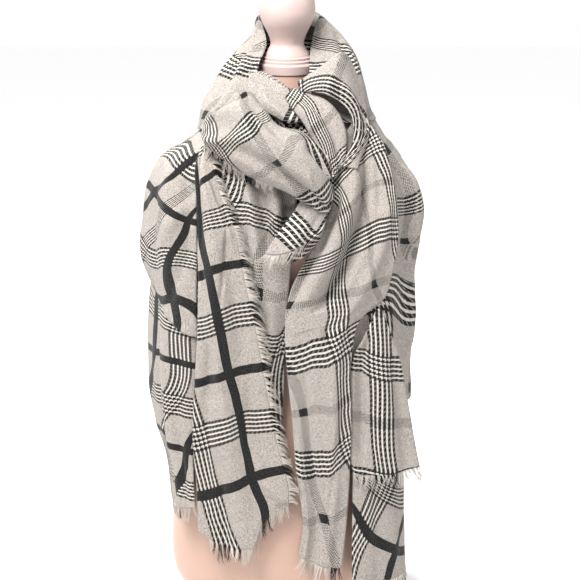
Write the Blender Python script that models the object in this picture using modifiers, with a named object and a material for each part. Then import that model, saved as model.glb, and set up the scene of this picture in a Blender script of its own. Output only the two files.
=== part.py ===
"""A plaid blanket scarf wound round the neck of a countertop dress form, its ends hanging front and back.

Sizes are in millimetres, +Z up, the form's front at -Y. The origin is the middle of its flat underside.
Each stretch of cloth is a smooth surface through a short table of sections, with its folds raised along
the surface's normal, and is given the cloth's thickness. Stretches are then laid against what carries them.
"""

import math
from collections import namedtuple

import bmesh
import bpy
from mathutils import Matrix, Vector
from mathutils.bvhtree import BVHTree


def table(columns, *rows):
    """Rows whose values are called by their column's name."""
    row_type = namedtuple("Row", columns)
    return [row_type(*row) for row in rows]


MM = 0.001
WALL = 2.0  # the woollen cloth
SEAT = 0.35  # the space left where one piece rests on another
CLEAR = 2.5  # the least between layers before they are seated
LIFT = 45.0  # how far above a layer the search for what lies under it starts
PROBES = 3  # a search is made this often along each side of a face
SMOOTHINGS = 2
CLOTH_X = 4.0  # the scarf hangs this far to one side of the form's middle
FLAP = 14.0  # how far a turned edge reaches behind its panel
TURN_STOPS = (1.0, 0.72, 0.45, 0.2)  # the corners of a turned edge, in half turns from its hidden end
SAG_SKEW = 0.8  # under 1, a sagging hem is lowest left of its middle
ROLL_LEAN = 0.25  # how far up a roll faces for each step forward
CORNER_FULLNESS = 0.92  # under 1, cloth carried round a corner stands out more than a quarter ellipse
LEVEL = 1000.0  # outward from a heart above all the cloth is level
SHOULDER_HEART = 560.0
NECK_HEART = 720.0

# ---- Dress form ----

TORSO = table(
    "z half_width front back squareness",
    (0, 146, 84, 84, 2.2),
    (5, 158, 94, 94, 2.2),
    (16, 167, 103, 103, 2.2),
    (35, 175, 109, 107, 2.2),
    (75, 178, 112, 110, 2.2),
    (130, 173, 110, 109, 2.2),
    (200, 158, 102, 102, 2.2),
    (280, 134, 93, 88, 2.2),
    (355, 120, 88, 78, 2.2),
    (430, 127, 95, 80, 2.2),
    (500, 141, 106, 88, 2.2),
    (545, 149, 110, 94, 2.25),
    (600, 158, 104, 96, 2.3),
    (640, 165, 92, 88, 2.3),
    (665, 165, 82, 78, 2.3),
    (685, 150, 73, 69, 2.3),
    (703, 122, 65, 61, 2.2),
    (722, 90, 57, 53, 2.1),
    (738, 67, 51, 48, 2.0),
    (752, 53, 46, 45, 2.0),
    (768, 46, 44, 44, 2.0),
    (787, 43, 43, 43, 2.0),
)
TORSO_SIDES = 32
NECK_TOP = 787.0
CAP_LEAN = math.radians(5.0)  # the neck's top and its cap tip forward
CAP = table(  # the turned cap from its underside to the top of its knob
    "radius height",
    (0, 0.3), (44, 0.3), (45, 2), (45, 13.5), (43.5, 15), (40, 16), (40, 19), (36.5, 20.5), (36.5, 23.5),
    (33, 25), (32, 28), (28, 33), (25, 39), (24.5, 44), (26.5, 52), (31, 62), (36.5, 73),
    (40, 84), (40.5, 93), (39, 104), (34.5, 116), (27, 126), (16, 133.5), (0, 137),
)
CAP_SIDES = 24

# ---- Fringe ----

STRIP_GAP = 0.4
STRIP_DEPTH = 3.0
STRIP_HALF = 0.9
STRAND_TAPER = 0.35
STRAND_PROBES = (0.4, 0.7, 1.0)  # where along a strand what lies under it is looked for
SWAYS = ((0.22, 2.3, 0.0), (0.12, 5.1, 1.0))  # size, beat and start of the strands' sideways sway
LENGTH_CHANGE = 0.14
LENGTH_BEAT = 3.7
FRINGES = table(  # the edge that each follows, from one place along it to another
    "name cloth edge start end pitch length",
    ("long_wrap_fringe", "long_wrap", "hem", 0, 1, 19, 17),
    ("right_tail_fringe", "right_tail", "hem", 0, 1, 9, 20),
    ("centre_hem_fringe", "centre_right", "hem", 0, 1, 9, 20),
    ("left_front_side_fringe", "left_front", "side", 0.03, 0.97, 14, 15),
    ("left_front_hem_fringe", "left_front", "hem", 0.38, 1, 9, 20),
    ("tuck_tail_fringe", "tuck_tail", "hem", 0, 0.5, 8, 13),
    ("cowl_fringe", "cowl_front", "side", 0.12, 0.45, 9, 11),
)

# ---- Cloth panels: the left and right edge of each section, from the top down ----

PANEL = "left_x left_y left_z right_x right_y right_z bulge sag"
FIRST_TURN = table(
    PANEL,
    (-78, -70, 742, 70, -64, 742, 16, 0),
    (-72, -92, 705, 72, -88, 705, 16, 0),
    (-60, -108, 665, 66, -106, 665, 12, 0),
    (-44, -117, 622, 52, -117, 622, 6, 12),
)
LEFT_INNER = table(
    PANEL,
    (-100, -98, 672, 2, -98, 664, 6, 0),
    (-93, -114, 632, 4, -114, 632, 6, 0),
    (-82, -122, 575, -8, -122, 584, 5, 0),
    (-76, -120, 487, -3, -124, 505, 4, 0),
    (-72, -114, 400, -6, -117, 425, 3, 0),
    (-70, -110, 320, -10, -112, 323, 3, 0),
    (-68, -110, 235, -14, -111, 240, 2, 4),
)
LEFT_FRONT = table(
    PANEL,
    (-126, -98, 692, -114, -102, 694, 2, 0),
    (-135, -117, 660, -101, -122, 665, 4, 0),
    (-133, -130, 620, -87, -134, 626, 6, 0),
    (-131, -136, 563, -66, -142, 578, 7, 0),
    (-131, -138, 491, -55, -143, 514, 7, 0),
    (-133, -135, 425, -38, -140, 434, 7, 0),
    (-138, -131, 350, -27, -137, 367, 6, 0),
    (-142, -129, 267, -10, -134, 269, 6, 0),
    (-137, -130, 190, 6, -134, 200, 5, 6),
    (-135, -132, 124, 4, -134, 166, 4, 46),
)
HEM_STEP = table(  # how much of the sag hangs at places across a hem whose right part is turned up
    "across drop",
    (0, 0), (0.18, 0.55), (0.45, 0.92), (0.61, 1), (0.69, 0.3), (0.84, 0.1), (1, 0),
)
CENTRE_RIGHT = table(
    PANEL,
    (40, -104, 652, 100, -66, 738, 10, 0),
    (50, -119, 600, 134, -92, 690, 14, 0),
    (30, -131, 548, 150, -108, 625, 14, 0),
    (4, -136, 497, 154, -117, 560, 12, 0),
    (-6, -137, 460, 146, -121, 512, 10, 0),
    (-7, -136, 435, 106, -129, 482, 8, 0),
    (-7, -135, 410, 88, -131, 446, 7, 0),
    (-4, -133, 365, 88, -129, 378, 6, 0),
    (3, -130, 298, 89, -127, 310, 5, 0),
    (9, -128, 220, 88, -126, 232, 5, 0),
    (19, -129, 140, 84, -127, 150, 4, 0),
    (13, -130, 88, 77, -129, 68, 3, 3),
)
RIGHT_TAIL = table(
    PANEL,
    (123, -130, 462, 130, -129, 462, 1, 0),
    (107, -129, 423, 143, -125, 428, 5, 0),
    (88, -122, 379, 158, -119, 386, 8, 0),
    (84, -119, 311, 171, -115, 323, 9, 0),
    (84, -119, 251, 182, -114, 262, 8, 0),
    (92, -121, 214, 190, -114, 222, 5, 6),
)
TUCK_UNDER = table(
    PANEL,
    (8, -128, 606, 52, -130, 590, 2, 0),
    (2, -132, 568, 44, -134, 566, 3, 0),
    (-6, -134, 534, 33, -134, 550, 2, 8),
)
TUCK_TAIL = table(
    PANEL,
    (22, -136, 630, 58, -136, 604, 2, 0),
    (2, -142, 598, 50, -144, 590, 4, 0),
    (-18, -146, 572, 46, -148, 578, 5, 0),
    (-34, -147, 544, 38, -149, 568, 4, 8),
)

# ---- Rolls of cloth: the top and bottom edge of each section, from the left end to the right ----

ROLL = "top_x top_y top_z foot_x foot_y foot_z bulge"
COWL_INNER = table(
    ROLL,
    (-58, -50, 790, -62, -80, 752, 4),
    (-36, -56, 792, -40, -90, 742, 5),
    (-14, -63, 779, -20, -94, 730, 5),
    (3, -69, 766, -3, -96, 722, 5),
    (22, -72, 754, 17, -94, 722, 5),
)
COWL_FRONT = table(
    ROLL,
    (-122, -76, 716, -126, -84, 706, 7),
    (-112, -90, 728, -119, -108, 692, 17),
    (-92, -100, 748, -98, -124, 678, 29),
    (-65, -106, 772, -73, -134, 660, 40),
    (-39, -110, 748, -46, -140, 648, 46),
    (-17, -112, 720, -7, -144, 632, 50),
    (14, -110, 712, 16, -144, 618, 50),
    (38, -110, 696, 40, -142, 604, 42),
    (54, -110, 672, 54, -136, 602, 28),
    (60, -114, 650, 60, -130, 616, 12),
)
TWIST_ROLL = table(
    ROLL,
    (3, -72, 770, -7, -76, 757, 3),
    (20, -80, 765, 3, -95, 742, 8),
    (42, -86, 757, 14, -112, 730, 12),
    (63, -92, 738, 24, -122, 714, 14),
    (75, -96, 713, 36, -126, 692, 14),
    (77, -104, 688, 49, -128, 666, 12),
    (77, -112, 665, 60, -128, 645, 7),
)
TURNED_LIP = table(
    ROLL,
    (10, -70, 778, 14, -78, 765, 3),
    (40, -74, 798, 31, -92, 766, 9),
    (74, -60, 819, 53, -100, 761, 15),
    (93, -34, 789, 73, -102, 750, 19),
    (104, -30, 752, 86, -100, 730, 19),
    (109, -52, 715, 90, -98, 706, 16),
    (107, -80, 690, 82, -104, 684, 13),
    (92, -104, 660, 63, -116, 662, 10),
)

# ---- Cloth carried round the form: each section's turning points, from its front end round the back ----

WRAP = (
    "start_x start_y start_z left_x left_y left_z back_x back_y back_z "
    "right_x right_y right_z end_x end_y end_z"
)
LONG_WRAP = table(
    WRAP,
    (-112, -106, 560, -170, 0, 575, 0, 108, 600, 166, 0, 570, 104, -108, 560),
    (-124, -108, 480, -200, 0, 500, 0, 110, 520, 170, 0, 500, 98, -108, 480),
    (-134, -108, 400, -206, 0, 420, 0, 106, 430, 174, 0, 410, 95, -106, 390),
    (-138, -106, 320, -206, 0, 340, 0, 104, 330, 174, 0, 310, 93, -106, 300),
    (-141, -107, 250, -197, 0, 265, 0, 110, 240, 175, 0, 220, 92, -112, 215),
    (-141, -112, 200, -181, 0, 205, 0, 119, 150, 178, 0, 120, 91, -120, 110),
    (-139, -114, 160, -178, 0, 142, 0, 122, 90, 181, 0, 34, 92, -122, 48),
)
COLLAR = table(
    WRAP,
    (-40, 12, 846, -42, 34, 850, -4, 62, 862, 37, 34, 850, 34, 12, 846),
    (-42, 12, 860, -48, 36, 868, -4, 74, 882, 45, 36, 868, 38, 12, 860),
    (-34, -4, 831, -61, 22, 830, -4, 94, 862, 74, 24, 842, 30, -2, 826),
    (-43, -40, 807, -88, 8, 801, -4, 108, 825, 97, 10, 806, 28, -36, 799),
    (-54, -70, 774, -110, 2, 767, -4, 118, 785, 107, 2, 770, 27, -58, 775),
    (-74, -84, 747, -127, 0, 738, -4, 124, 745, 113, 0, 745, 40, -74, 750),
    (-100, -84, 720, -135, 0, 708, -4, 124, 716, 120, 0, 722, 70, -76, 722),
)
CAPE = "start_x start_y start_z side_x side_y side_z end_x end_y end_z"
LEFT_CAPE = table(  # from the front, round the left shoulder, to the back
    CAPE,
    (-100, -78, 700, -118, 0, 718, 10, 76, 716),
    (-128, -92, 680, -150, 0, 690, 24, 98, 690),
    (-131, -104, 655, -187, 0, 668, 34, 108, 655),
    (-132, -116, 620, -206, 0, 633, 40, 114, 620),
    (-132, -121, 585, -214, 0, 580, 44, 116, 580),
    (-132, -123, 530, -218, 0, 540, 48, 116, 540),
    (-133, -121, 475, -214, 0, 514, 50, 115, 490),
    (-133, -118, 420, -204, 0, 490, 52, 114, 440),
)
RIGHT_SHOULDER = table(  # from the back, round the right shoulder, to the front
    CAPE,
    (-34, 82, 722, 116, 0, 736, 66, -66, 726),
    (-46, 102, 694, 138, 0, 700, 70, -84, 690),
    (-54, 114, 658, 162, 0, 668, 74, -98, 655),
    (-60, 121, 622, 182, 0, 636, 76, -108, 622),
    (-64, 124, 585, 191, 0, 602, 76, -113, 588),
    (-66, 125, 540, 187, 0, 556, 74, -116, 545),
    (-68, 125, 495, 180, 0, 506, 70, -117, 500),
    (-70, 124, 450, 185, 0, 432, 68, -116, 430),
    (-72, 123, 420, 182, 0, 370, 68, -114, 370),
    (-74, 122, 395, 184, 0, 306, 68, -112, 312),
)

# ---- Folds: where each runs across its stretch at its top and foot, how far down it reaches, its size ----

FOLD = "across_top across_foot top foot half_width height"
FOLDS = {
    "left_inner": table(
        FOLD,
        (0.3, 0.62, -0.1, 0.42, 0.13, -9),
        (0.52, 0.97, -0.1, 0.4, 0.1, -7),
        (0.7, 0.75, 0.5, 1.1, 0.14, 4),
    ),
    "left_front": table(
        FOLD,
        (0.45, 0.3, 0.05, 0.55, 0.22, 4),
        (0.75, 0.62, 0.35, 0.95, 0.18, -5),
        (0.3, 0.62, 0.7, 1.1, 0.16, 6),
    ),
    "centre_right": table(
        FOLD,
        (0.78, 0.34, 0.02, 0.42, 0.11, -15),
        (0.4, 0.12, -0.05, 0.38, 0.14, 5),
        (0.8, 0.62, 0.45, 1.05, 0.16, 5),
        (0.22, 0.3, 0.5, 1.1, 0.13, -4),
    ),
    "right_tail": table(
        FOLD,
        (0.2, 0.2, 0.2, 0.9, 0.12, -5),
        (0.62, 0.55, 0.2, 1.1, 0.2, 4),
    ),
    "long_wrap": table(
        FOLD,
        (0.1, 0.1, 0.1, 1.1, 0.025, 6),
        (0.17, 0.16, 0.2, 1.1, 0.022, -6),
        (0.27, 0.26, 0.1, 1.1, 0.03, 7),
        (0.36, 0.37, 0.2, 1.1, 0.026, -6),
        (0.46, 0.47, 0.0, 1.1, 0.034, 8),
        (0.56, 0.55, 0.2, 1.1, 0.028, -6),
        (0.65, 0.66, 0.1, 1.1, 0.03, 7),
        (0.76, 0.77, 0.3, 1.1, 0.025, -4),
        (0.88, 0.87, 0.4, 1.1, 0.022, 5),
    ),
    "left_cape": table(
        FOLD,
        (0.2, 0.12, 0.15, 0.85, 0.07, 8),
        (0.33, 0.24, 0.3, 1.1, 0.05, -7),
        (0.62, 0.55, 0.2, 1.1, 0.06, 8),
        (0.8, 0.76, 0.2, 1.1, 0.05, -6),
    ),
    "right_shoulder": table(
        FOLD,
        (0.22, 0.26, 0.2, 1.1, 0.05, 8),
        (0.36, 0.42, 0.15, 1.1, 0.045, -7),
        (0.6, 0.62, 0.25, 0.9, 0.05, 6),
        (0.74, 0.72, 0.3, 1.0, 0.04, -6),
    ),
    "collar": table(
        FOLD,
        (0.16, 0.12, 0.25, 1.1, 0.035, -6),
        (0.34, 0.32, 0.3, 1.1, 0.05, 7),
        (0.5, 0.52, 0.35, 1.1, 0.05, -6),
        (0.66, 0.7, 0.3, 1.0, 0.05, 6),
        (0.82, 0.86, 0.3, 0.9, 0.035, -9),
    ),
    "cowl_front": table(
        FOLD,
        (0.22, 0.62, 0.02, 0.75, 0.12, 6),
        (0.66, 0.9, 0.25, 1.0, 0.1, -8),
        (0.3, 0.34, 0.7, 1.02, 0.12, -8),
    ),
    "twist_roll": table(
        FOLD,
        (0.5, 0.45, 0.15, 0.9, 0.12, -5),
    ),
    "turned_lip": table(
        FOLD,
        (0.45, 0.5, 0.1, 0.95, 0.22, -5),
    ),
    "tuck_tail": table(
        FOLD,
        (0.45, 0.5, 0.0, 1.1, 0.2, 3),
    ),
}

COLOURS = {
    "shell": (0.86, 0.77, 0.72),
    "cap": (0.89, 0.83, 0.82),
    "wool": (0.66, 0.63, 0.59),
    "fringe": (0.30, 0.30, 0.28),
}


def material(name, roughness):
    made = bpy.data.materials.new(name)
    made.use_nodes = True
    shader = made.node_tree.nodes["Principled BSDF"]
    shader.inputs["Base Color"].default_value = (*COLOURS[name], 1)
    shader.inputs["Roughness"].default_value = roughness
    return made


def add_object(name, mesh, look, home):
    piece = bpy.data.objects.new(name, mesh)
    mesh.materials.append(look)
    mesh.shade_smooth()
    home.objects.link(piece)
    return piece


def on_curve(rows, place):
    """The row at a place from 0, the first, to 1, the last, on a smooth curve through them all."""
    reach = place * (len(rows) - 1)
    first = min(int(reach), len(rows) - 2)
    part = reach - first
    before, start, end, after = (
        rows[min(max(index, 0), len(rows) - 1)] for index in range(first - 1, first + 3)
    )
    return type(start)(*(
        b + 0.5 * part * (c - a + part * (2 * a - 5 * b + 4 * c - d + part * (3 * (b - c) + d - a)))
        for a, b, c, d in zip(before, start, end, after)
    ))


def corner(row, name):
    """The point of a section whose three columns start with this name."""
    return Vector(getattr(row, name + axis) for axis in ("_x", "_y", "_z"))


def steps(count):
    return [index / count for index in range(count + 1)]


# ---- Sections ----


def turned_edge(edge, along, out, radius):
    """A folded edge seen end on, from its hidden end out to where it meets the face of the cloth."""
    centre = edge - out * radius
    arc = [
        centre - along * radius * math.sin(math.pi * stop) + out * radius * math.cos(math.pi * stop)
        for stop in TURN_STOPS
    ]
    return [centre - out * radius + along * FLAP, *arc]


def hem_share(across, hem):
    """How much of a section's sag hangs at a place across it: an even swag, or as the hem's table says."""
    if hem is None:
        return math.sin(math.pi * across**SAG_SKEW)
    for before, after in zip(hem, hem[1:]):
        if across <= after.across:
            part = (across - before.across) / (after.across - before.across)
            return before.drop + (after.drop - before.drop) * part
    return hem[-1].drop


def panel_section(row, columns, left_turn, right_turn, hem):
    """Points across a hanging panel, with each one's place across it from 0 to 1."""
    left, right = corner(row, "left"), corner(row, "right")
    along = (right - left).normalized()
    forward = Vector((0, -1, 0))
    out = (forward - along * forward.dot(along)).normalized()
    first, last = left + along * left_turn, right - along * right_turn
    width = (last - first).length
    points = []
    if left_turn:
        points += [(point, 0.0, None) for point in turned_edge(first, along, out, left_turn)]
    for across in steps(columns):
        crown = math.sin(math.pi * across)
        drop = row.sag * hem_share(across, hem)
        doubled = left_turn if across * width < 2 * FLAP else 0
        doubled = max(doubled, right_turn if (1 - across) * width < 2 * FLAP else 0)
        place = first.lerp(last, across) + out * row.bulge * crown - Vector((0, 0, drop))
        points.append((place, across, WALL + 2 * doubled))
    if right_turn:
        hidden = turned_edge(last, -along, out, right_turn)
        points += [(point, 1.0, None) for point in reversed(hidden)]
    return points


def roll_section(row, columns):
    """Points over a roll of cloth, half round, from its top edge to its foot."""
    top, foot = corner(row, "top"), corner(row, "foot")
    along = (foot - top).normalized()
    forward = Vector((0, -1, ROLL_LEAN))
    out = (forward - along * forward.dot(along)).normalized()
    points = []
    for part in steps(columns):
        turn = math.pi * part
        across = 0.5 - 0.5 * math.cos(turn)
        points.append((top.lerp(foot, across) + out * row.bulge * math.sin(turn), part, WALL))
    return points


def carried_section(row, columns):
    """Points round the form through its turning points, sideways at front and back."""
    turns = [corner(row, field[:-2]) for field in row._fields[::3]]
    quarters = len(turns) - 1
    points = []
    for part in steps(columns):
        reach = part * quarters
        index = min(int(reach), quarters - 1)
        start, end = turns[index], turns[index + 1]
        angle = (reach - index) * math.pi / 2
        rise, fall = math.sin(angle) ** CORNER_FULLNESS, math.cos(angle) ** CORNER_FULLNESS
        blend = 0.5 - 0.5 * math.cos((reach - index) * math.pi)
        x_part, y_part = (rise, 1 - fall) if index % 2 == 0 else (1 - fall, rise)
        x = start.x + (end.x - start.x) * x_part
        y = start.y + (end.y - start.y) * y_part
        points.append((Vector((x, y, start.z + (end.z - start.z) * blend)), part, WALL))
    return points


# ---- Surfaces ----


def fold_height(folds, across, down):
    """How far the cloth stands out at a place across and down its stretch."""
    height = 0.0
    for fold in folds:
        reach = (down - fold.top) / (fold.foot - fold.top)
        if 0 < reach < 1:
            middle = fold.across_top + (fold.across_foot - fold.across_top) * reach
            away = (across - middle) / fold.half_width
            height += fold.height * math.sin(math.pi * reach) ** 0.5 * math.exp(-away * away)
    return height


def surface(rows, section, lines, folds):
    """A stretch of cloth as a grid of points, their outward normals and the cloth's depth at each."""
    places = steps(lines)
    grid = [section(on_curve(rows, down)) for down in places]
    points = [[spot[0] for spot in line] for line in grid]
    depths = [[spot[2] for spot in line] for line in grid]
    wide = len(points[0])
    normals = []
    for i in range(lines + 1):
        upper, lower = points[max(i - 1, 0)], points[min(i + 1, lines)]
        line = points[i]
        normals.append([
            (line[min(j + 1, wide - 1)] - line[max(j - 1, 0)]).cross(lower[j] - upper[j]).normalized()
            for j in range(wide)
        ])
    facing = sum(
        normals[i][j].dot(Vector((points[i][j].x, points[i][j].y, 0)))
        for i in range(lines + 1) for j in range(wide)
    )
    side = 1 if facing > 0 else -1
    for i, down in enumerate(places):
        for j in range(wide):
            normals[i][j] *= side
            points[i][j] = points[i][j] + normals[i][j] * fold_height(folds, grid[i][j][1], down)
    return points, normals, depths, side


def shortfall(spot, way, depth, under):
    """How far a spot of cloth must move along a direction to lie CLEAR of what is under it."""
    reach = LIFT + depth + CLEAR
    start = spot + Vector((CLOTH_X, 0, 0)) + way * LIFT
    hits = [tree.ray_cast(start, -way, reach)[3] for tree in under]
    return reach - min((hit for hit in hits if hit is not None), default=reach)


def laid_over(points, depths, placed, outward):
    """The points of a stretch, moved outward where it would lie closer than CLEAR to what is under it."""
    under = [tree_of(solid) for solid in placed.values()]
    lines, wide = len(points), len(points[0])
    least = [[0.0] * wide for _ in range(lines)]  # how far each point has to move
    for i in range(lines - 1):
        for j in range(wide - 1):
            if depths[i][j] is None or depths[i][j + 1] is None:
                continue
            depth = max(depths[i][j], depths[i][j + 1])
            for down in steps(PROBES):
                first = points[i][j].lerp(points[i + 1][j], down)
                last = points[i][j + 1].lerp(points[i + 1][j + 1], down)
                for across in steps(PROBES):
                    spot = first.lerp(last, across)
                    short = shortfall(spot, outward(spot), depth, under)
                    for a, b in ((i, j), (i + 1, j), (i, j + 1), (i + 1, j + 1)):
                        least[a][b] = max(least[a][b], short)
    spread = least
    for _ in range(SMOOTHINGS):
        spread = [
            [
                max(least[i][j], sum(spread[a][b] for a in near(i, lines) for b in near(j, wide))
                    / (len(near(i, lines)) * len(near(j, wide))))
                for j in range(wide)
            ]
            for i in range(lines)
        ]
    moved = []
    for i in range(lines):
        shown = [j for j in range(wide) if depths[i][j] is not None]
        line = []
        for j in range(wide):
            twin = min(max(j, shown[0]), shown[-1])
            line.append(points[i][j] + outward(points[i][twin]) * spread[i][twin])
        moved.append(line)
    return moved


def near(index, count):
    return range(max(index - 1, 0), min(index + 2, count))


def cloth(name, rows, section, lines, placed, outward, look, home):
    """One stretch of cloth as a wall, its thickness inward of the surface through its sections.

    Also returns the surface's points and normals with the turned edges left out, for its fringe.
    """
    points, normals, depths, side = surface(rows, section, lines, FOLDS.get(name, ()))
    points = laid_over(points, depths, placed, outward)
    wide = len(points[0])
    mesh = bpy.data.meshes.new(name)
    aside = Vector((CLOTH_X, 0, 0))
    vertices = [(point + aside) * MM for line in points for point in line]
    faces = []
    for i in range(lines):
        for j in range(wide - 1):
            corners = (i * wide + j, i * wide + j + 1, (i + 1) * wide + j + 1, (i + 1) * wide + j)
            faces.append(corners if side > 0 else corners[::-1])
    mesh.from_pydata(vertices, [], faces)
    piece = add_object(name, mesh, look, home)
    wall = piece.modifiers.new("wall", "SOLIDIFY")
    wall.thickness = WALL * MM
    wall.offset = -1
    wall.use_even_offset = False
    shown = [j for j in range(wide) if depths[0][j] is not None]
    face = slice(shown[0], shown[-1] + 1)
    return piece, [line[face] for line in points], [line[face] for line in normals]


# ---- Seating ----


def solid_of(piece):
    """The evaluated triangles of a piece, in world millimetres."""
    graph = bpy.context.evaluated_depsgraph_get()
    graph.update()
    shape = piece.evaluated_get(graph)
    mesh = shape.to_mesh()
    mesh.calc_loop_triangles()
    points = [shape.matrix_world @ vertex.co / MM for vertex in mesh.vertices]
    triangles = [tuple(triangle.vertices) for triangle in mesh.loop_triangles]
    shape.to_mesh_clear()
    return points, triangles


def tree_of(solid, shift=Vector((0, 0, 0))):
    points, triangles = solid
    return BVHTree.FromPolygons([point + shift for point in points], triangles)


def seat(piece, placed, toward, reach=45.0, step=1.0, closeness=0.02):
    """Moves a piece along a direction, back until clear of the others or on until it all but touches one."""
    toward = Vector(toward).normalized()
    solid = solid_of(piece)
    others = [tree_of(other) for other in placed.values()]

    def meets(distance):
        moved = tree_of(solid, toward * distance)
        return any(moved.overlap(other) for other in others)

    clear, touching = 0.0, 0.0
    while meets(clear):
        touching, clear = clear, clear - step
        if clear < -reach:
            raise ValueError(piece.name + " cannot be brought clear of the others")
    while not meets(touching):
        clear, touching = touching, touching + step
        if touching > reach:
            raise ValueError(piece.name + " meets nothing to rest on")
    while touching - clear > closeness:
        middle = (clear + touching) / 2
        clear, touching = (clear, middle) if meets(middle) else (middle, touching)
    shift = toward * (clear - SEAT)
    piece.data.transform(Matrix.Translation(shift * MM))
    placed[piece.name] = solid_of(piece)
    return shift


# ---- Fringe ----


def strand_strip(name, edge, pitch, length, placed, outward, look, home):
    """A narrow strip just past a cloth's edge, with strands standing out from it.

    The edge is a list of points in the wall, each with the direction away from the cloth and the normal.
    """
    spans = [(b[0] - a[0]).length for a, b in zip(edge, edge[1:])]
    count = max(3, round(sum(spans) / pitch))
    stations = 2 * count + 1

    def at(distance):
        for index, span in enumerate(spans):
            if distance <= span or index == len(spans) - 1:
                part = min(distance / span, 1)
                return [a.lerp(b, part) for a, b in zip(edge[index], edge[index + 1])]
            distance -= span

    made = bmesh.new()
    rings = []
    for station in range(stations + 1):
        point, away, normal = at(sum(spans) * station / stations)
        away, normal = away.normalized(), normal.normalized()
        ring = []
        far = STRIP_GAP + STRIP_DEPTH
        for reach, side in ((STRIP_GAP, 1), (far, 1), (far, -1), (STRIP_GAP, -1)):
            place = point + away * reach + normal * side * STRIP_HALF
            ring.append(made.verts.new(((place.x + CLOTH_X) * MM, place.y * MM, place.z * MM)))
        rings.append((ring, away, normal))
    roots = []
    for station in range(stations):
        (ring, away, normal), (after, _, _) = rings[station], rings[station + 1]
        for corner in range(4):
            beyond = (corner + 1) % 4
            face = made.faces.new((ring[corner], ring[beyond], after[beyond], after[corner]))
            if corner == 1 and station % 2:
                roots.append((face, away, normal))
    made.faces.new(rings[0][0])
    made.faces.new(rings[-1][0][::-1])
    under = [tree_of(solid) for solid in placed.values()]
    for order, (face, away, normal) in enumerate(roots):
        grown = bmesh.ops.extrude_discrete_faces(made, faces=[face])["faces"][0]
        sway = sum(size * math.sin(beat * order + start) for size, beat, start in SWAYS)
        along = away.cross(normal)
        full = length * (1 - LENGTH_CHANGE * (1 - math.sin(LENGTH_BEAT * order)))
        reach = (away + along * sway) * full
        root = face_middle(grown) / MM - Vector((CLOTH_X, 0, 0))
        way = outward(root + reach)
        lift = max(
            shortfall(root + reach * part, way, STRIP_HALF, under) / part for part in STRAND_PROBES
        )
        bmesh.ops.translate(made, verts=grown.verts, vec=(reach + way * lift) * MM)
        middle = face_middle(grown)
        for vertex in grown.verts:
            vertex.co = middle + (vertex.co - middle) * STRAND_TAPER
    bmesh.ops.recalc_face_normals(made, faces=made.faces)
    mesh = bpy.data.meshes.new(name)
    made.to_mesh(mesh)
    made.free()
    return add_object(name, mesh, look, home)


def face_middle(face):
    return sum((vertex.co for vertex in face.verts), Vector()) / len(face.verts)


def hem_edge(points, normals, shift, start, end):
    """The bottom edge of a stretch, for its fringe, from one place across it to another."""
    last, above, out = points[-1], points[-2], normals[-1]
    wide = len(last) - 1
    return [
        (last[j] - out[j] * WALL / 2 + shift, (last[j] - above[j]).normalized(), out[j])
        for j in range(round(wide * start), round(wide * end) + 1)
    ]


def side_edge(points, normals, shift, start, end):
    """The last-column edge of a stretch, for its fringe, from one place down it to another."""
    lines = len(points) - 1
    return [
        (points[i][-1] - normals[i][-1] * WALL / 2 + shift,
         (points[i][-1] - points[i][-2]).normalized(), normals[i][-1])
        for i in range(round(lines * start), round(lines * end) + 1)
    ]


# ---- The form ----


def torso(look, home):
    """The form's body: rounded rings between a flat underside and the neck's tipped top."""
    made = bmesh.new()
    rings = []
    for z, half_width, front, back, squareness in TORSO:
        tip = math.tan(CAP_LEAN) if z == NECK_TOP else 0
        ring = []
        for side in range(TORSO_SIDES):
            angle = 2 * math.pi * side / TORSO_SIDES
            across, ahead = math.cos(angle), math.sin(angle)
            power = 2 / squareness
            x = half_width * math.copysign(abs(across) ** power, across)
            y = (back if ahead > 0 else front) * math.copysign(abs(ahead) ** power, ahead)
            ring.append(made.verts.new((x * MM, y * MM, (z + y * tip) * MM)))
        rings.append(ring)
    for lower, upper in zip(rings, rings[1:]):
        for side in range(TORSO_SIDES):
            beyond = (side + 1) % TORSO_SIDES
            made.faces.new((lower[side], lower[beyond], upper[beyond], upper[side]))
    made.faces.new(rings[0][::-1])
    made.faces.new(rings[-1])
    mesh = bpy.data.meshes.new("form_torso")
    made.to_mesh(mesh)
    made.free()
    return add_object("form_torso", mesh, look, home)


def neck_cap(look, home):
    """The turned cap on the neck: a stepped flange, a waist and a round knob."""
    made = bmesh.new()
    line = [made.verts.new((radius * MM, 0, height * MM)) for radius, height in reversed(CAP)]
    for upper, lower in zip(line, line[1:]):
        made.edges.new((upper, lower))
    mesh = bpy.data.meshes.new("form_neck_cap")
    made.to_mesh(mesh)
    made.free()
    cap = add_object("form_neck_cap", mesh, look, home)
    turn = cap.modifiers.new("turn", "SCREW")
    turn.steps = turn.render_steps = CAP_SIDES
    turn.use_merge_vertices = True
    turn.merge_threshold = 0.00001
    cap.location = (0, 0, NECK_TOP * MM)
    cap.rotation_euler = (CAP_LEAN, 0, 0)
    return cap


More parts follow.
